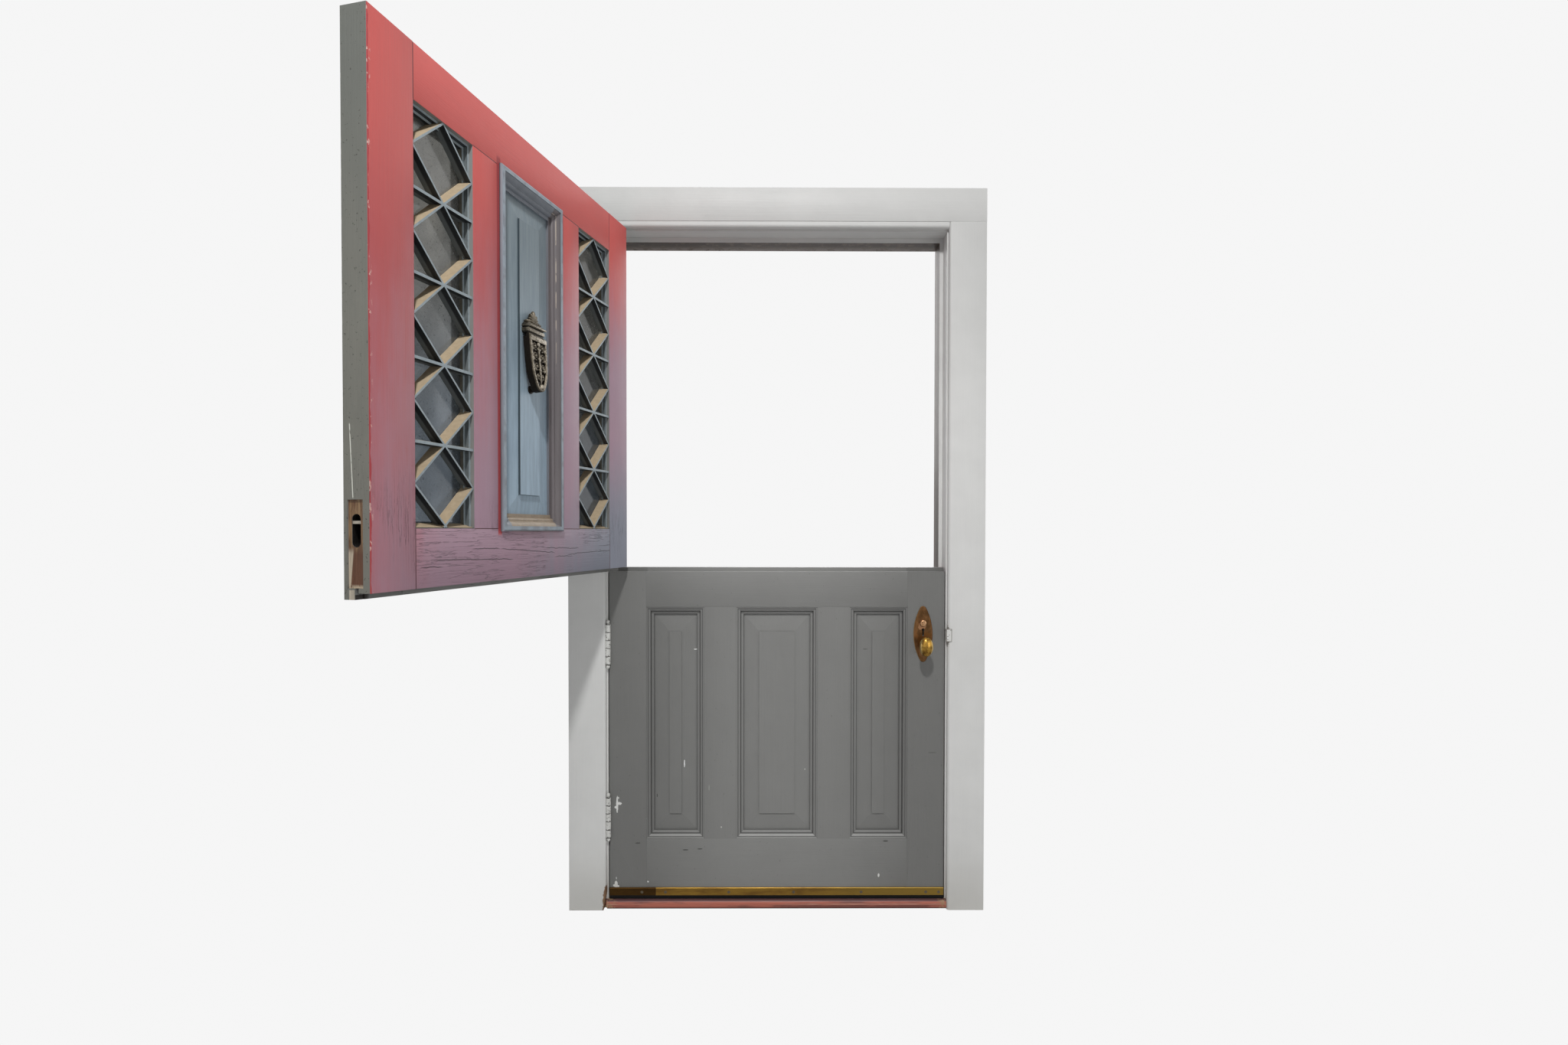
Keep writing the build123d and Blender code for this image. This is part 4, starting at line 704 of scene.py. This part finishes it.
panel_grey = panel_paint("lower_panel_paint", False)
dress(panel_grey, "lower_panel_hinge_side", "lower_panel_centre", "lower_panel_lock_side")
moulding_grey = moulding_paint("lower_moulding_paint", False)
dress(moulding_grey, "lower_mouldings_indoor", "lower_mouldings_outdoor")


# Lower leaf: hinge plates and screws
# The leaf's halves of the two lower hinges, let into the stile's edge, and all the leaf's screws.
def clouded(name, rough, metal, cloud, light, dark):
    """A plain surface clouded between two tones."""
    finish = Finish(name, rough, metal)
    finish.set("Base Color", finish.blend(finish.noise(*cloud), light, dark))
    return finish


screw_metal = clouded("screw_metal", 0.45, 0.8, (500.0,), "6f6656", "3d3428")
dress(painted_hinge, "hinge_plates_lower")
dress(screw_metal, "screws_lower")


# Sweep along the foot of the lower leaf
# Flat brass with a rolled lip, in a short dark length and a long brighter one, screwed on.
# A black rubber strip below it closes the gap over the sill.
finish = Finish("strip_metal", 0.36, 1.0)
x, _, z = finish.axes()
tarnish = finish.noise(9.0, 4.0, (1, 1, 5), 0.55)
bright = finish.blend(finish.band(tarnish, 0.35, 0.70), "86692f", "664c26")
bright = finish.blend(finish.band(x, 0.05, 0.35), bright, "7c6530")
dull = finish.blend(tarnish, "4a3519", "2c1e10")
tone = finish.blend(finish.band(x, -0.3861, -0.3859), dull, bright)
# Painted highlight: the rolled lip is made half again as bright.
tone = finish.blend(finish.band(z, 0.0605, 0.0635), tone, finish.scaled(tone, 1.5))
finish.surface(tone, finish.line(tarnish, 0.3, 0.22), finish.noise(30.0, 3.0, (0.3, 1, 1)), 0.0006)
dress(finish, "sweep_strip")
blacks = (0.004, 0.004, 0.004, 1), (0.012, 0.011, 0.010, 1)
rubber = clouded("rubber", 0.6, 0.0, (90.0, 4.0), *blacks)
rubber.set("Specular IOR Level", 0.15)
dress(rubber, "sweep_seal")


# Mortise lock
# An iron case let into the stile, its faceplate flush with the edge, with a latch and a deadbolt.
dress(clouded("lock_iron", 0.6, 0.6, (80.0, 4.0), "3b3631", "241f1b"), "lock_case")
plate_metal = clouded("plate_metal", 0.38, 1.0, (60.0, 5.0), "8b7650", "5a4a34")
dress(plate_metal, "lock_faceplate", "latch_bolt", "deadbolt")


# Escutcheons
# Long pointed ovals of cast brass, one on each face, with a brown patina worn bright by hands.
# The key's slot lies between the turn and the knob.
finish = Finish("escutcheon_metal", 0.36, 1.0)
x, _, z = finish.axes()
mottle = finish.noise(42.0, 5.0, (1, 1, 0.7), 0.65)
tone = finish.blend(finish.band(mottle, 0.35, 0.65), "6f4f33", "4b3520")
# Painted light: the rim turned to the lock edge is darkened as painted shade, the rim turned to the
# hinge side lightened as a painted highlight.
side = finish.facing(0)
tone = finish.over(
    tone,
    (finish.patch(x, z, (0.462, 0.905), (0.013, 0.018), 0.6, 60.0), "86644a"),
    (finish.band(side, 0.15, 0.6), "2c1d10"),
    (finish.band(side, -0.25, -0.7), "8f7550"),
    (finish.patch(x, z, (0.472, 0.85), (0.026, 0.036), 0.4, 60.0), "5a3c20"),
)
finish.surface(tone, finish.line(mottle, 0.25, 0.25), finish.noise(160.0, 3.0), 0.00025)
dress(finish, "escutcheon_indoor", "escutcheon_outdoor")


# Knobs and turn
# Egg-shaped brass knobs on a square spindle, polished yellow by hands, and a small turn above.
finish = Finish("knob_metal", 0.22, 1.0)
hands = finish.noise(48.0, 4.0, (1, 1, 1), 0.6)
tone = finish.blend(finish.band(hands, 0.36, 0.66), "a5813c", "5f451e")
# Painted highlight: a pale ring where the knob's surface turns sideways.
side = finish.unsigned(finish.facing(0))
rim = finish.both(finish.band(side, 0.55, 0.8), finish.band(side, 0.97, 0.9))
tone = finish.blend(rim, tone, "c9ae74")
finish.surface(tone, finish.line(hands, 0.3, 0.1), finish.noise(70.0, 2.0), 0.0006)
dress(finish, "knob_outdoor", "knob_indoor")
dress(clouded("turn_metal", 0.3, 1.0, (130.0, 3.0), "c09a76", "6b4a2f"), "turn")


# Upper leaf: stiles, rails and mullions
# Framed like the lower leaf, with a lip that laps over it; its red outdoor face is bleached.
# The free edge still has the bare recess and the round-ended slot of an older lock.
def edge_details(finish, x, y, z, tone):
    """Bare wood in the old recess, painted shade in the slot and the nick at the foot, a pale
    scratch and a plug.
    """
    floor = finish.window(x, 0.5300, 0.5312, 0.0002)
    recess = finish.both(floor, finish.window(y, 0.0088, 0.0422), finish.window(z, 1.0995, 1.2612))
    grain = finish.noise(170.0, 5.0, (1, 1, 0.1), 0.7)
    low = finish.band(z, 1.176, 1.160)
    flake_edge = finish.less(finish.line(z, 0.10, -0.0971), y)
    flake = finish.both(low, finish.band(flake_edge, -0.001, 0.002))
    rim = finish.both(finish.band(z, 1.108, 1.101), finish.spots(0.4, 0.5, 150.0))
    wood = finish.blend(finish.band(grain, 0.35, 0.65), "8d7355", "5b3f2b")
    dark_wood = finish.blend(grain, "6a4631", "45291b")
    wood = finish.over(wood, (low, dark_wood), (flake, "b9ab97"), (rim, "b7a68e"))
    # Painted shade: the inside of the slot and of the nick is near-black.
    in_slot = finish.both(finish.window(y, 0.0155, 0.0355), finish.window(z, 1.1735, 1.2355))
    slot = finish.both(in_slot, finish.band(x, 0.5300, 0.5285), finish.band(x, 0.46, 0.47))
    in_nick = finish.both(finish.window(y, 0.0235, 0.0325), finish.band(z, 1.0885, 1.0875))
    nick = finish.both(in_nick, finish.band(x, 0.5332, 0.5326), finish.band(x, 0.50, 0.51))
    outer = finish.band(x, 0.5330, 0.5334)
    at_line = finish.near(y, finish.line(z, -0.0476, 0.0813072), 0.0014, 0.0006)
    broken = finish.spots(0.36, 0.46, 90.0, 3.0, (1, 1, 0.4))
    scratch = finish.both(outer, at_line, finish.window(z, 1.262, 1.40, 0.004), broken)
    at_plug = finish.both(finish.window(y, 0.0115, 0.0235), finish.window(z, 1.076, 1.098, 0.002))
    slot_shade, nick_shade = (0.010, 0.008, 0.007, 1), (0.02, 0.016, 0.013, 1)
    tone = finish.over(tone, (recess, wood), (slot, slot_shade), (nick, nick_shade))
    return finish.over(tone, (scratch, "d9d5c9"), (finish.both(outer, at_plug), "b4aa9a"))


build_leaf("upper", 0.0008, edge_details)


# Upper leaf: centre panel and its mouldings
# One raised panel, held by a plain moulding indoors and a bold one outdoors.
dress(panel_paint("upper_panel_paint", True), "upper_panel")
moulding_blue = moulding_paint("upper_moulding_paint", True)
dress(moulding_blue, "upper_panel_moulding_indoor", "upper_panel_moulding_outdoor")


# Lights: stepped surrounds, beads, lattices and panes
# Two narrow panes of old glass lie in rebates, with diamond lattices of thin bars outside them.
# Dust lies on every bar's upper side, and the under sides are near-black as painted shade.
def sash_paint(name, lattice):
    """Blue-grey paint with fronts painted paler as painted light, under sides near-black as painted
    shade, and tan dust on top.
    """
    finish = leaf_finish(name, True)
    x, y, _ = finish.axes()
    up = finish.facing()
    grain = finish.noise(120.0, 4.0)
    side = finish.blend(grain, "6d7476", "4d5457")
    front = finish.blend(grain, "98a2a6", "727d83")
    if lattice:
        # Painted light and shade: the lattice's fronts are paler; its under sides are near-black
        # near the front and lighter deeper in.
        lit_front = finish.band(y, 0.0534, 0.0538)
        under = finish.blend(finish.band(y, 0.043, 0.039), "171a1d", "565b5c")
        side = finish.blend(finish.band(up, -0.25, -0.55), side, under)
    else:
        # Painted light on the surround's noses; painted shade, near-black, at the opening's outer
        # edge and on faces turned down; the inner band is putty.
        first, second = (finish.window(y, low, low + 0.001, 0.0002) for low in (0.0464, 0.0364))
        lit_front = finish.either(first, second)
        inner, outer = finish.band(y, 0.0364, 0.0360), finish.band(y, 0.0475, 0.0480)
        under = finish.band(up, -0.4, -0.7)
        putty = finish.blend(grain, "7b776c", "5b5a52")
        side = finish.over(side, (inner, putty), (outer, "2b2f30"), (under, "2a2f33"))
    tone = finish.blend(lit_front, side, front)
    tone = finish.blend(finish.band(y, 0.0200, 0.0205), grey_with_painted_light(finish, x), tone)
    dust = finish.blend(finish.noise(85.0, 5.0, (1, 1, 1), 0.65), "ab9a80", "86765f")
    settled = finish.both(finish.band(up, 0.25, 0.5), finish.band(y, 0.0538, 0.0530))
    tone = finish.blend(settled, tone, dust)
    finish.surface(tone, finish.line(settled, 0.3, 0.5), finish.noise(300.0, 3.0), 0.0002)
    return finish


dress(sash_paint("lattice_paint", True), "lattice_hinge_side", "lattice_lock_side")
dress(sash_paint("surround_paint", False), "light_surrounds")
dress(moulding_paint("light_bead_paint", True), "light_beads_indoor")
finish = leaf_finish("old_glass", True)
high = finish.band(finish.axes()[2], 1.35, 1.85)
film_and_reflection = finish.noise(11.0, 5.0, (1, 1, 0.6), 0.6)
specks = finish.spots(0.66, 0.72, 260.0, 2.0)
# Painted reflection: warm grey high up and cold blue-grey low down, clouded with the film of dirt
# that also dulls the panes.
warm_reflection, cold_reflection = finish.blend(film_and_reflection, "85837c", "5d6061"), finish.blend(film_and_reflection, "757d85", "4c545b")
tone = finish.blend(high, cold_reflection, warm_reflection)
finish.surface(tone, finish.line(film_and_reflection, 0.18, 0.02), finish.noise(7.0, 2.0), 0.0012)
finish.set("Transmission Weight", finish.line(finish.sum("ADD", film_and_reflection, specks), -0.55, 0.95))
finish.set("IOR", 1.45)
dress(finish, "glass_panes")


# Upper leaf: hinge plates, screws and the bar in the slot
# The leaf's halves of the upper hinges; the bar is what is left of the older lock.
dress(painted_hinge, "hinge_plates_upper")
dress(screw_metal, "screws_upper")
dress(clouded("bar_metal", 0.3, 1.0, (160.0, 4.0), "b5aea2", "5e574c"), "slot_bar")
dress(plate_metal, "knocker_pin")


# Knocker
# Cast bronze with a brown patina: a bracket with a moulded cornice, a leafy crest and two lugs,
# a round striking button below it, and a shield of pierced scrolls that swings on a pin.
PANEL_FACE = 0.049
PIN_Y, PIN_Z = 0.066, 1.677
LEAN = math.radians(4.5)
CREST_FOOT = 1.711
BUTTON_HEIGHT = 1.551
SHIELD_BACK = 0.068
CAST_LEAF = 0.0052


def shaped(name, kind, low, high, tilt=0.0):
    """A primitive brought between two corners, then tilted in the leaf's plane."""
    centre = [(a + b) / 2 for a, b in zip(low, high)]
    size = [b - a for a, b in zip(low, high)]
    if kind == "cube":
        bpy.ops.mesh.primitive_cube_add(size=1, location=centre)
    elif kind == "ball":
        bpy.ops.mesh.primitive_uv_sphere_add(
            segments=20, ring_count=12, radius=0.5, location=centre
        )
    else:
        turn = (math.pi / 2, 0, 0) if kind == "button" else (0, math.pi / 2, 0)
        bpy.ops.mesh.primitive_cylinder_add(
            vertices=32, radius=0.5, depth=1, location=centre, rotation=turn
        )
        size = [size[0], size[2], size[1]] if kind == "button" else [size[2], size[1], size[0]]
    made = bpy.context.active_object
    made.name = name
    made.scale = size
    bpy.ops.object.transform_apply(location=True, rotation=True, scale=True)
    if tilt:
        enter("EDIT")
        bpy.ops.mesh.select_all(action="SELECT")
        foot = (centre[0], centre[1], low[2])
        bpy.ops.transform.rotate(value=tilt, orient_axis="Y", center_override=foot)
        enter("OBJECT")
    return made


def top_only(made):
    """Edit mode with only the top face selected."""
    enter("EDIT")
    bpy.ops.mesh.select_mode(type="FACE")
    bpy.ops.mesh.select_all(action="DESELECT")
    mesh = bmesh.from_edit_mesh(made.data)
    for face in mesh.faces:
        face.select = face.normal.z > 0.9
    bmesh.update_edit_mesh(made.data)


def draw_up(made, half, deep, top, steps, back=PANEL_FACE):
    """Draws a block up in steps of height, half width and depth; its back stays flat."""
    top_only(made)
    for height, new_half, new_deep in steps:
        bpy.ops.mesh.extrude_region_move(TRANSFORM_OT_translate={"value": (0, 0, height - top)})
        grow = (new_half / half, new_deep / deep, 1)
        bpy.ops.transform.resize(value=grow, center_override=(0, back, height))
        half, deep, top = new_half, new_deep, height
    enter("OBJECT")


def softened(made, width):
    """Cast edges, rounded by a bevel that is applied."""
    bpy.context.view_layer.objects.active = made
    modifier = made.modifiers.new("edges", "BEVEL")
    modifier.width = width
    modifier.segments = 2
    modifier.limit_method = "ANGLE"
    bpy.ops.object.modifier_apply(modifier=modifier.name)
    return made


def joined(name, pieces):
    """Several cast shapes made one piece."""
    pick(*pieces)
    bpy.ops.object.join()
    made = bpy.context.active_object
    made.name = name
    enter("EDIT")
    bpy.ops.mesh.select_all(action="SELECT")
    bpy.ops.mesh.normals_make_consistent(inside=False)
    enter("OBJECT")
    bpy.ops.object.shade_smooth_by_angle(angle=0.7)
    return made


def hang_on_leaf(made, body, node):
    """Turns a piece made on the shut leaf to where the open leaf stands."""
    back = Matrix.Translation(-HINGE_LINE)
    made.data.transform(Matrix.Translation(HINGE_LINE) @ Matrix.Rotation(-OPEN, 4, "Z") @ back)
    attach(made, body)
    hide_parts(node)


cornice = shaped("cornice", "cube", (-0.0335, PANEL_FACE, 1.684), (0.0335, PIN_Y, 1.6868))
cornice_steps = (
    (1.6873, 0.0352, 0.0200),
    (1.6956, 0.0352, 0.0200),
    (1.6961, 0.0345, 0.0192),
    (1.6962, 0.0328, 0.0172),
    (1.6986, 0.0328, 0.0172),
    (1.6991, 0.0350, 0.0236),
    (1.7000, 0.0355, 0.0250),
    (1.7030, 0.0355, 0.0250),
    (1.7046, 0.0335, 0.0212),
    (1.7080, 0.0310, 0.0185),
    (1.7083, 0.0290, 0.0150),
    (1.7115, 0.0270, 0.0140),
)
draw_up(cornice, 0.0335, 0.017, 1.6868, cornice_steps)
bracket = [softened(cornice, 0.0004)]
for side in (-1, 1):
    x0, x1 = side * 0.017 - 0.003, side * 0.017 + 0.003
    bracket.append(shaped("lug", "cube", (x0, PANEL_FACE, PIN_Z - 0.0055), (x1, PIN_Y, 1.6855)))
    low, high = (x0, PIN_Y - 0.0055, PIN_Z - 0.0055), (x1, PIN_Y + 0.0055, PIN_Z + 0.0055)
    bracket.append(shaped("knuckle", "axle", low, high))
    for place, size in ((0.0190, 0.0095), (0.0275, 0.0070)):
        low = (side * place - size / 2, PANEL_FACE + 0.001, CREST_FOOT - 0.001)
        high = (low[0] + size, PANEL_FACE + 0.0150, low[2] + size)
        bracket.append(shaped("curl", "ball", low, high))
fan = ((0, 0.0320, 0.0110), (0.48, 0.0265, 0.0090), (0.92, 0.0220, 0.0080), (1.28, 0.0195, 0.0070))
for tilt, length, wide in fan + tuple((-t, l, w) for t, l, w in fan[1:]):
    low = (-wide / 2, PANEL_FACE + 0.001, CREST_FOOT)
    high = (wide / 2, PANEL_FACE + 0.0165, CREST_FOOT + length)
    bracket.append(shaped("crest_leaf", "ball", low, high, tilt))
for name, half, deep in (("button", 0.007, 0.0118), ("button_foot", 0.010, 0.004)):
    low = (-half, PANEL_FACE, BUTTON_HEIGHT - half)
    high = (half, PANEL_FACE + deep, BUTTON_HEIGHT + half)
    bracket.append(softened(shaped(name, "button", low, high), 0.0015))
bracket = joined("knocker_bracket", bracket)


def cast(line, y):
    """A flat curve stood up at its depth and made a mesh."""
    line.location.y = y
    line.rotation_euler = (math.pi / 2, 0, 0)
    pick(line)
    bpy.ops.object.convert(target="MESH")
    bpy.ops.object.transform_apply(location=True, rotation=True, scale=True)
    return bpy.context.active_object


def shield_line(name, inset, y, **shape):
    """A closed curve inside the shield's outline, with its own cross-section."""
    bpy.ops.curve.primitive_bezier_circle_add(radius=0.03)
    line = bpy.context.active_object
    line.name = name
    enter("EDIT")
    bpy.ops.curve.select_all(action="SELECT")
    bpy.ops.curve.subdivide()
    enter("OBJECT")
    middle = 1618
    half = ((0, 1676), (35.5, 1676), (34.2, 1612), (26.5, 1574))
    places = [(-35.5, 1676), *half, (0, 1543.5), (-26.5, 1574), (-34.2, 1612)]
    for index, (point, (a, b)) in enumerate(zip(line.data.splines[0].bezier_points, places)):
        sharp = index in (0, 2)
        inward = Vector((-a, middle - b)).normalized() * inset * (1.4 if sharp else 1.0)
        point.co = ((a + inward.x) / 1000, (b + inward.y) / 1000, 0)
        point.handle_left_type = point.handle_right_type = "VECTOR" if sharp else "AUTO"
    for key, value in shape.items():
        setattr(line.data, key, value)
    return cast(line, y)


hoop = {"dimensions": "2D", "fill_mode": "NONE", "extrude": 0.0075, "bevel_depth": 0.0020}
sheet = {"dimensions": "2D", "fill_mode": "BOTH", "extrude": 0.0008}
shield = [
    shield_line("shield_roll", 4.0, 0.0698, bevel_depth=0.0039, bevel_resolution=3),
    shield_line("shield_wall", 2.2, 0.0617, **hoop),
    shield_line("shield_ground", 3.5, 0.0665, **sheet),
]


def scroll(centre, radius, start, hand):
    """A tapering spiral of cast metal."""
    bpy.ops.curve.primitive_nurbs_path_add(radius=0.01)
    line = bpy.context.active_object
    enter("EDIT")
    bpy.ops.curve.select_all(action="SELECT")
    bpy.ops.curve.subdivide(number_cuts=3)
    enter("OBJECT")
    points = line.data.splines[0].points
    for index, point in enumerate(points):
        along = index / (len(points) - 1)
        reach = radius * (1 - 0.78 * along)
        angle = start + hand * 2.7 * math.pi * along
        point.co = (centre[0] + reach * math.cos(angle), centre[1] + reach * math.sin(angle), 0, 1)
        point.radius = 1.0 - 0.35 * along
    line.data.bevel_depth = 0.0020
    line.data.bevel_resolution = 2
    line.data.use_fill_caps = True
    return cast(line, 0.0705)


def rolled(name, middle, half):
    """A length of the striker's rolled head, round the pin."""
    low = (middle - half, PIN_Y - 0.006, PIN_Z - 0.006)
    return shaped(name, "axle", low, (middle + half, PIN_Y + 0.006, PIN_Z + 0.006))


scrolls = ((16.0, 1654, 10.5), (15.5, 1630, 11.0), (13.0, 1605, 10.0), (9.0, 1581, 7.0))
blades = ((3, 1640, 0.75, 15), (3, 1615, 0.7, 15), (2.5, 1590, 0.65, 12), (2, 1566, 0.6, 10))
tips = ((25, 1642, -0.3, 12), (24, 1617, -0.25, 11), (19, 1592, -0.3, 10))
for side in (-1, 1):
    for across, height, radius in scrolls:
        centre = (side * across / 1000, height / 1000)
        start = math.radians(250 if side > 0 else -70)
        shield.append(scroll(centre, radius / 1000, start, side))
        low = (centre[0] - CAST_LEAF / 2, SHIELD_BACK, centre[1] - CAST_LEAF / 2)
        shield.append(shaped("eye", "ball", low, (low[0] + CAST_LEAF, 0.0738, low[2] + CAST_LEAF)))
    for across, height, tilt, length in blades + tips:
        low = (side * across / 1000 - CAST_LEAF / 2, SHIELD_BACK, height / 1000)
        high = (low[0] + CAST_LEAF, 0.0737, low[2] + length / 1000)
        shield.append(shaped("blade", "ball", low, high, side * tilt))
    low = (side * 0.007 - 0.0040, 0.0640, 1.5475)
    shield.append(shaped("foot_leaf", "ball", low, (low[0] + 0.0080, 0.0780, 1.5630), side * 0.5))
    shield.append(softened(rolled("roll_end", side * 0.0279, 0.0076), 0.0005))
rail = shaped("shield_rail", "cube", (-0.0350, 0.0668, 1.6655), (0.0350, 0.0742, 1.6705))
draw_up(rail, 1, 1, 1.6705, ((1.6706, 1, 0.22), (1.6758, 1, 0.22)), 0.0742)
shield += [
    rolled("roll_middle", 0, 0.0137),
    shaped("stem", "ball", (-CAST_LEAF / 2, SHIELD_BACK, 1.552), (CAST_LEAF / 2, 0.0740, 1.668)),
    shaped("boss", "ball", (-0.0065, SHIELD_BACK, 1.6540), (0.0065, 0.0742, 1.6665)),
    shaped("foot_ball", "ball", (-0.0080, 0.0640, 1.5460), (0.0080, 0.0795, 1.5620)),
    softened(rail, 0.0003),
]
shield = joined("knocker_shield", shield)
pin = Matrix.Translation((0, PIN_Y, PIN_Z))
shield.data.transform(pin @ Matrix.Rotation(LEAN, 4, "X") @ pin.inverted())

finish = leaf_finish("knocker_metal", True)
finish.set("Metallic", 0.8)
_, y, z = finish.axes()
patina = finish.noise(130.0, 5.0, (1, 1, 1), 0.65)
tone = finish.blend(finish.band(patina, 0.35, 0.65), "5e574a", "38322a")
leaned = finish.line(finish.less(z, PIN_Z), math.tan(LEAN), y)
on_shield = finish.band(z, 1.6835, 1.6830)
on_cornice = finish.both(finish.band(z, 1.6838, 1.6842), finish.band(y, 0.0590, 0.0730))
proud = finish.either(finish.both(on_shield, finish.band(leaned, 0.0718, 0.0736)), on_cornice)
rubbed = finish.both(proud, finish.spots(0.36, 0.56, 260.0, 4.0))
flank = finish.band(leaned, 0.0688, 0.0674)
hollow = finish.both(finish.band(leaned, 0.0700, 0.0686), finish.band(leaned, 0.0655, 0.0662))
dark = finish.both(on_shield, finish.either(flank, hollow))
heights = ((1.6958, 1.6990), (1.6830, 1.6872), (1.7045, 1.7066))
grooves = finish.both(finish.either(*(finish.window(z, *pair, 0.0003) for pair in heights)), 0.85)
tone = finish.over(tone, (rubbed, "8f887c"), (dark, "211b16"), (grooves, "1d1915"))
finish.surface(tone, finish.line(patina, 0.3, 0.34), patina, 0.0004)
coat(bracket, finish)
coat(shield, finish)
hang_on_leaf(bracket, "upper_leaf", "knocker_plate")
hang_on_leaf(shield, "knocker_striker", "knocker_striker")


# Stage
# A pale floor and backdrop, soft lights, and the photograph's camera. Not part of the object.
BACKDROP = {"Color": (1, 1, 1, 1), "Strength": 0.92}
bpy.ops.mesh.primitive_plane_add(size=30, location=(0, 6, part_low.z - 0.0005))
floor = bpy.context.active_object
floor.name = "floor"
pale = Finish("floor_paint", 0.7)
pale.set("Base Color", (0.86, 0.86, 0.86, 1))
x, y, _ = pale.axes()
plain_white = pale.node("ShaderNodeEmission", BACKDROP).outputs[0]
shown = pale.node("ShaderNodeLightPath").outputs["Is Camera Ray"]
far = pale.both(shown, pale.band(pale.length(x, y), 0.7, 2.2))
mixed = pale.node("ShaderNodeMixShader", {0: far, 1: pale.shader.outputs[0], 2: plain_white})
pale.feed(pale.output.inputs[0], mixed.outputs[0])
floor.data.materials.append(pale.material)

world = bpy.data.worlds.new("studio")
bpy.context.scene.world = world
world.use_nodes = True
studio = Graph(world.node_tree)
path = studio.node("ShaderNodeLightPath").outputs
soft = studio.node("ShaderNodeBackground", {"Color": (0.98, 0.99, 1.0, 1), "Strength": 0.19})
clear = studio.node("ShaderNodeBackground", BACKDROP)
direct = studio.node("ShaderNodeMath", {0: path["Is Camera Ray"], 1: path["Is Glossy Ray"]})
feeds = {0: direct.outputs[0], 1: path["Is Transmission Ray"]}
seen = studio.node("ShaderNodeMath", feeds, use_clamp=True)
feeds = {0: seen.outputs[0], 1: soft.outputs[0], 2: clear.outputs[0]}
mixed = studio.node("ShaderNodeMixShader", feeds)
studio.node("ShaderNodeOutputWorld", {0: mixed.outputs[0]})


def area(name, place, target, size, power):
    """A soft square light that looks at a point."""
    bpy.ops.object.light_add(type="AREA", location=place)
    lamp = bpy.context.active_object
    lamp.name = name
    lamp.data.size = size
    lamp.data.energy = power
    lamp.rotation_euler = (Vector(target) - Vector(place)).to_track_quat("-Z", "Y").to_euler()


area("key", (-0.1, -2.75, 4.05), (0, 0, 1.0), 0.22, 74)
area("fill", (2.4, -2.6, 1.4), (-0.2, -0.2, 1.1), 1.6, 9)
area("garden", (0.6, 3.2, 2.8), (0, 0, 1.2), 2.5, 45)

yaw, pitch, roll = (math.radians(a) for a in (0.276, -0.909, 0.072))
ahead = Vector((math.sin(yaw) * math.cos(pitch), math.cos(yaw) * math.cos(pitch), math.sin(pitch)))
right = Vector((math.cos(yaw), -math.sin(yaw), 0))
above = right.cross(ahead)
bpy.ops.object.camera_add(location=(0.0059, -2.4547, 1.2064))
camera = bpy.context.active_object
level_view = Matrix((right, above, -ahead)).transposed()
camera.rotation_euler = (level_view @ Matrix.Rotation(roll, 3, "Z")).to_euler()
camera.data.sensor_width = 36
camera.data.lens = 17.746
camera.data.shift_x = 0.00088
camera.data.shift_y = 0.01274
bpy.context.scene.camera = camera
bpy.context.scene.view_settings.view_transform = "Standard"
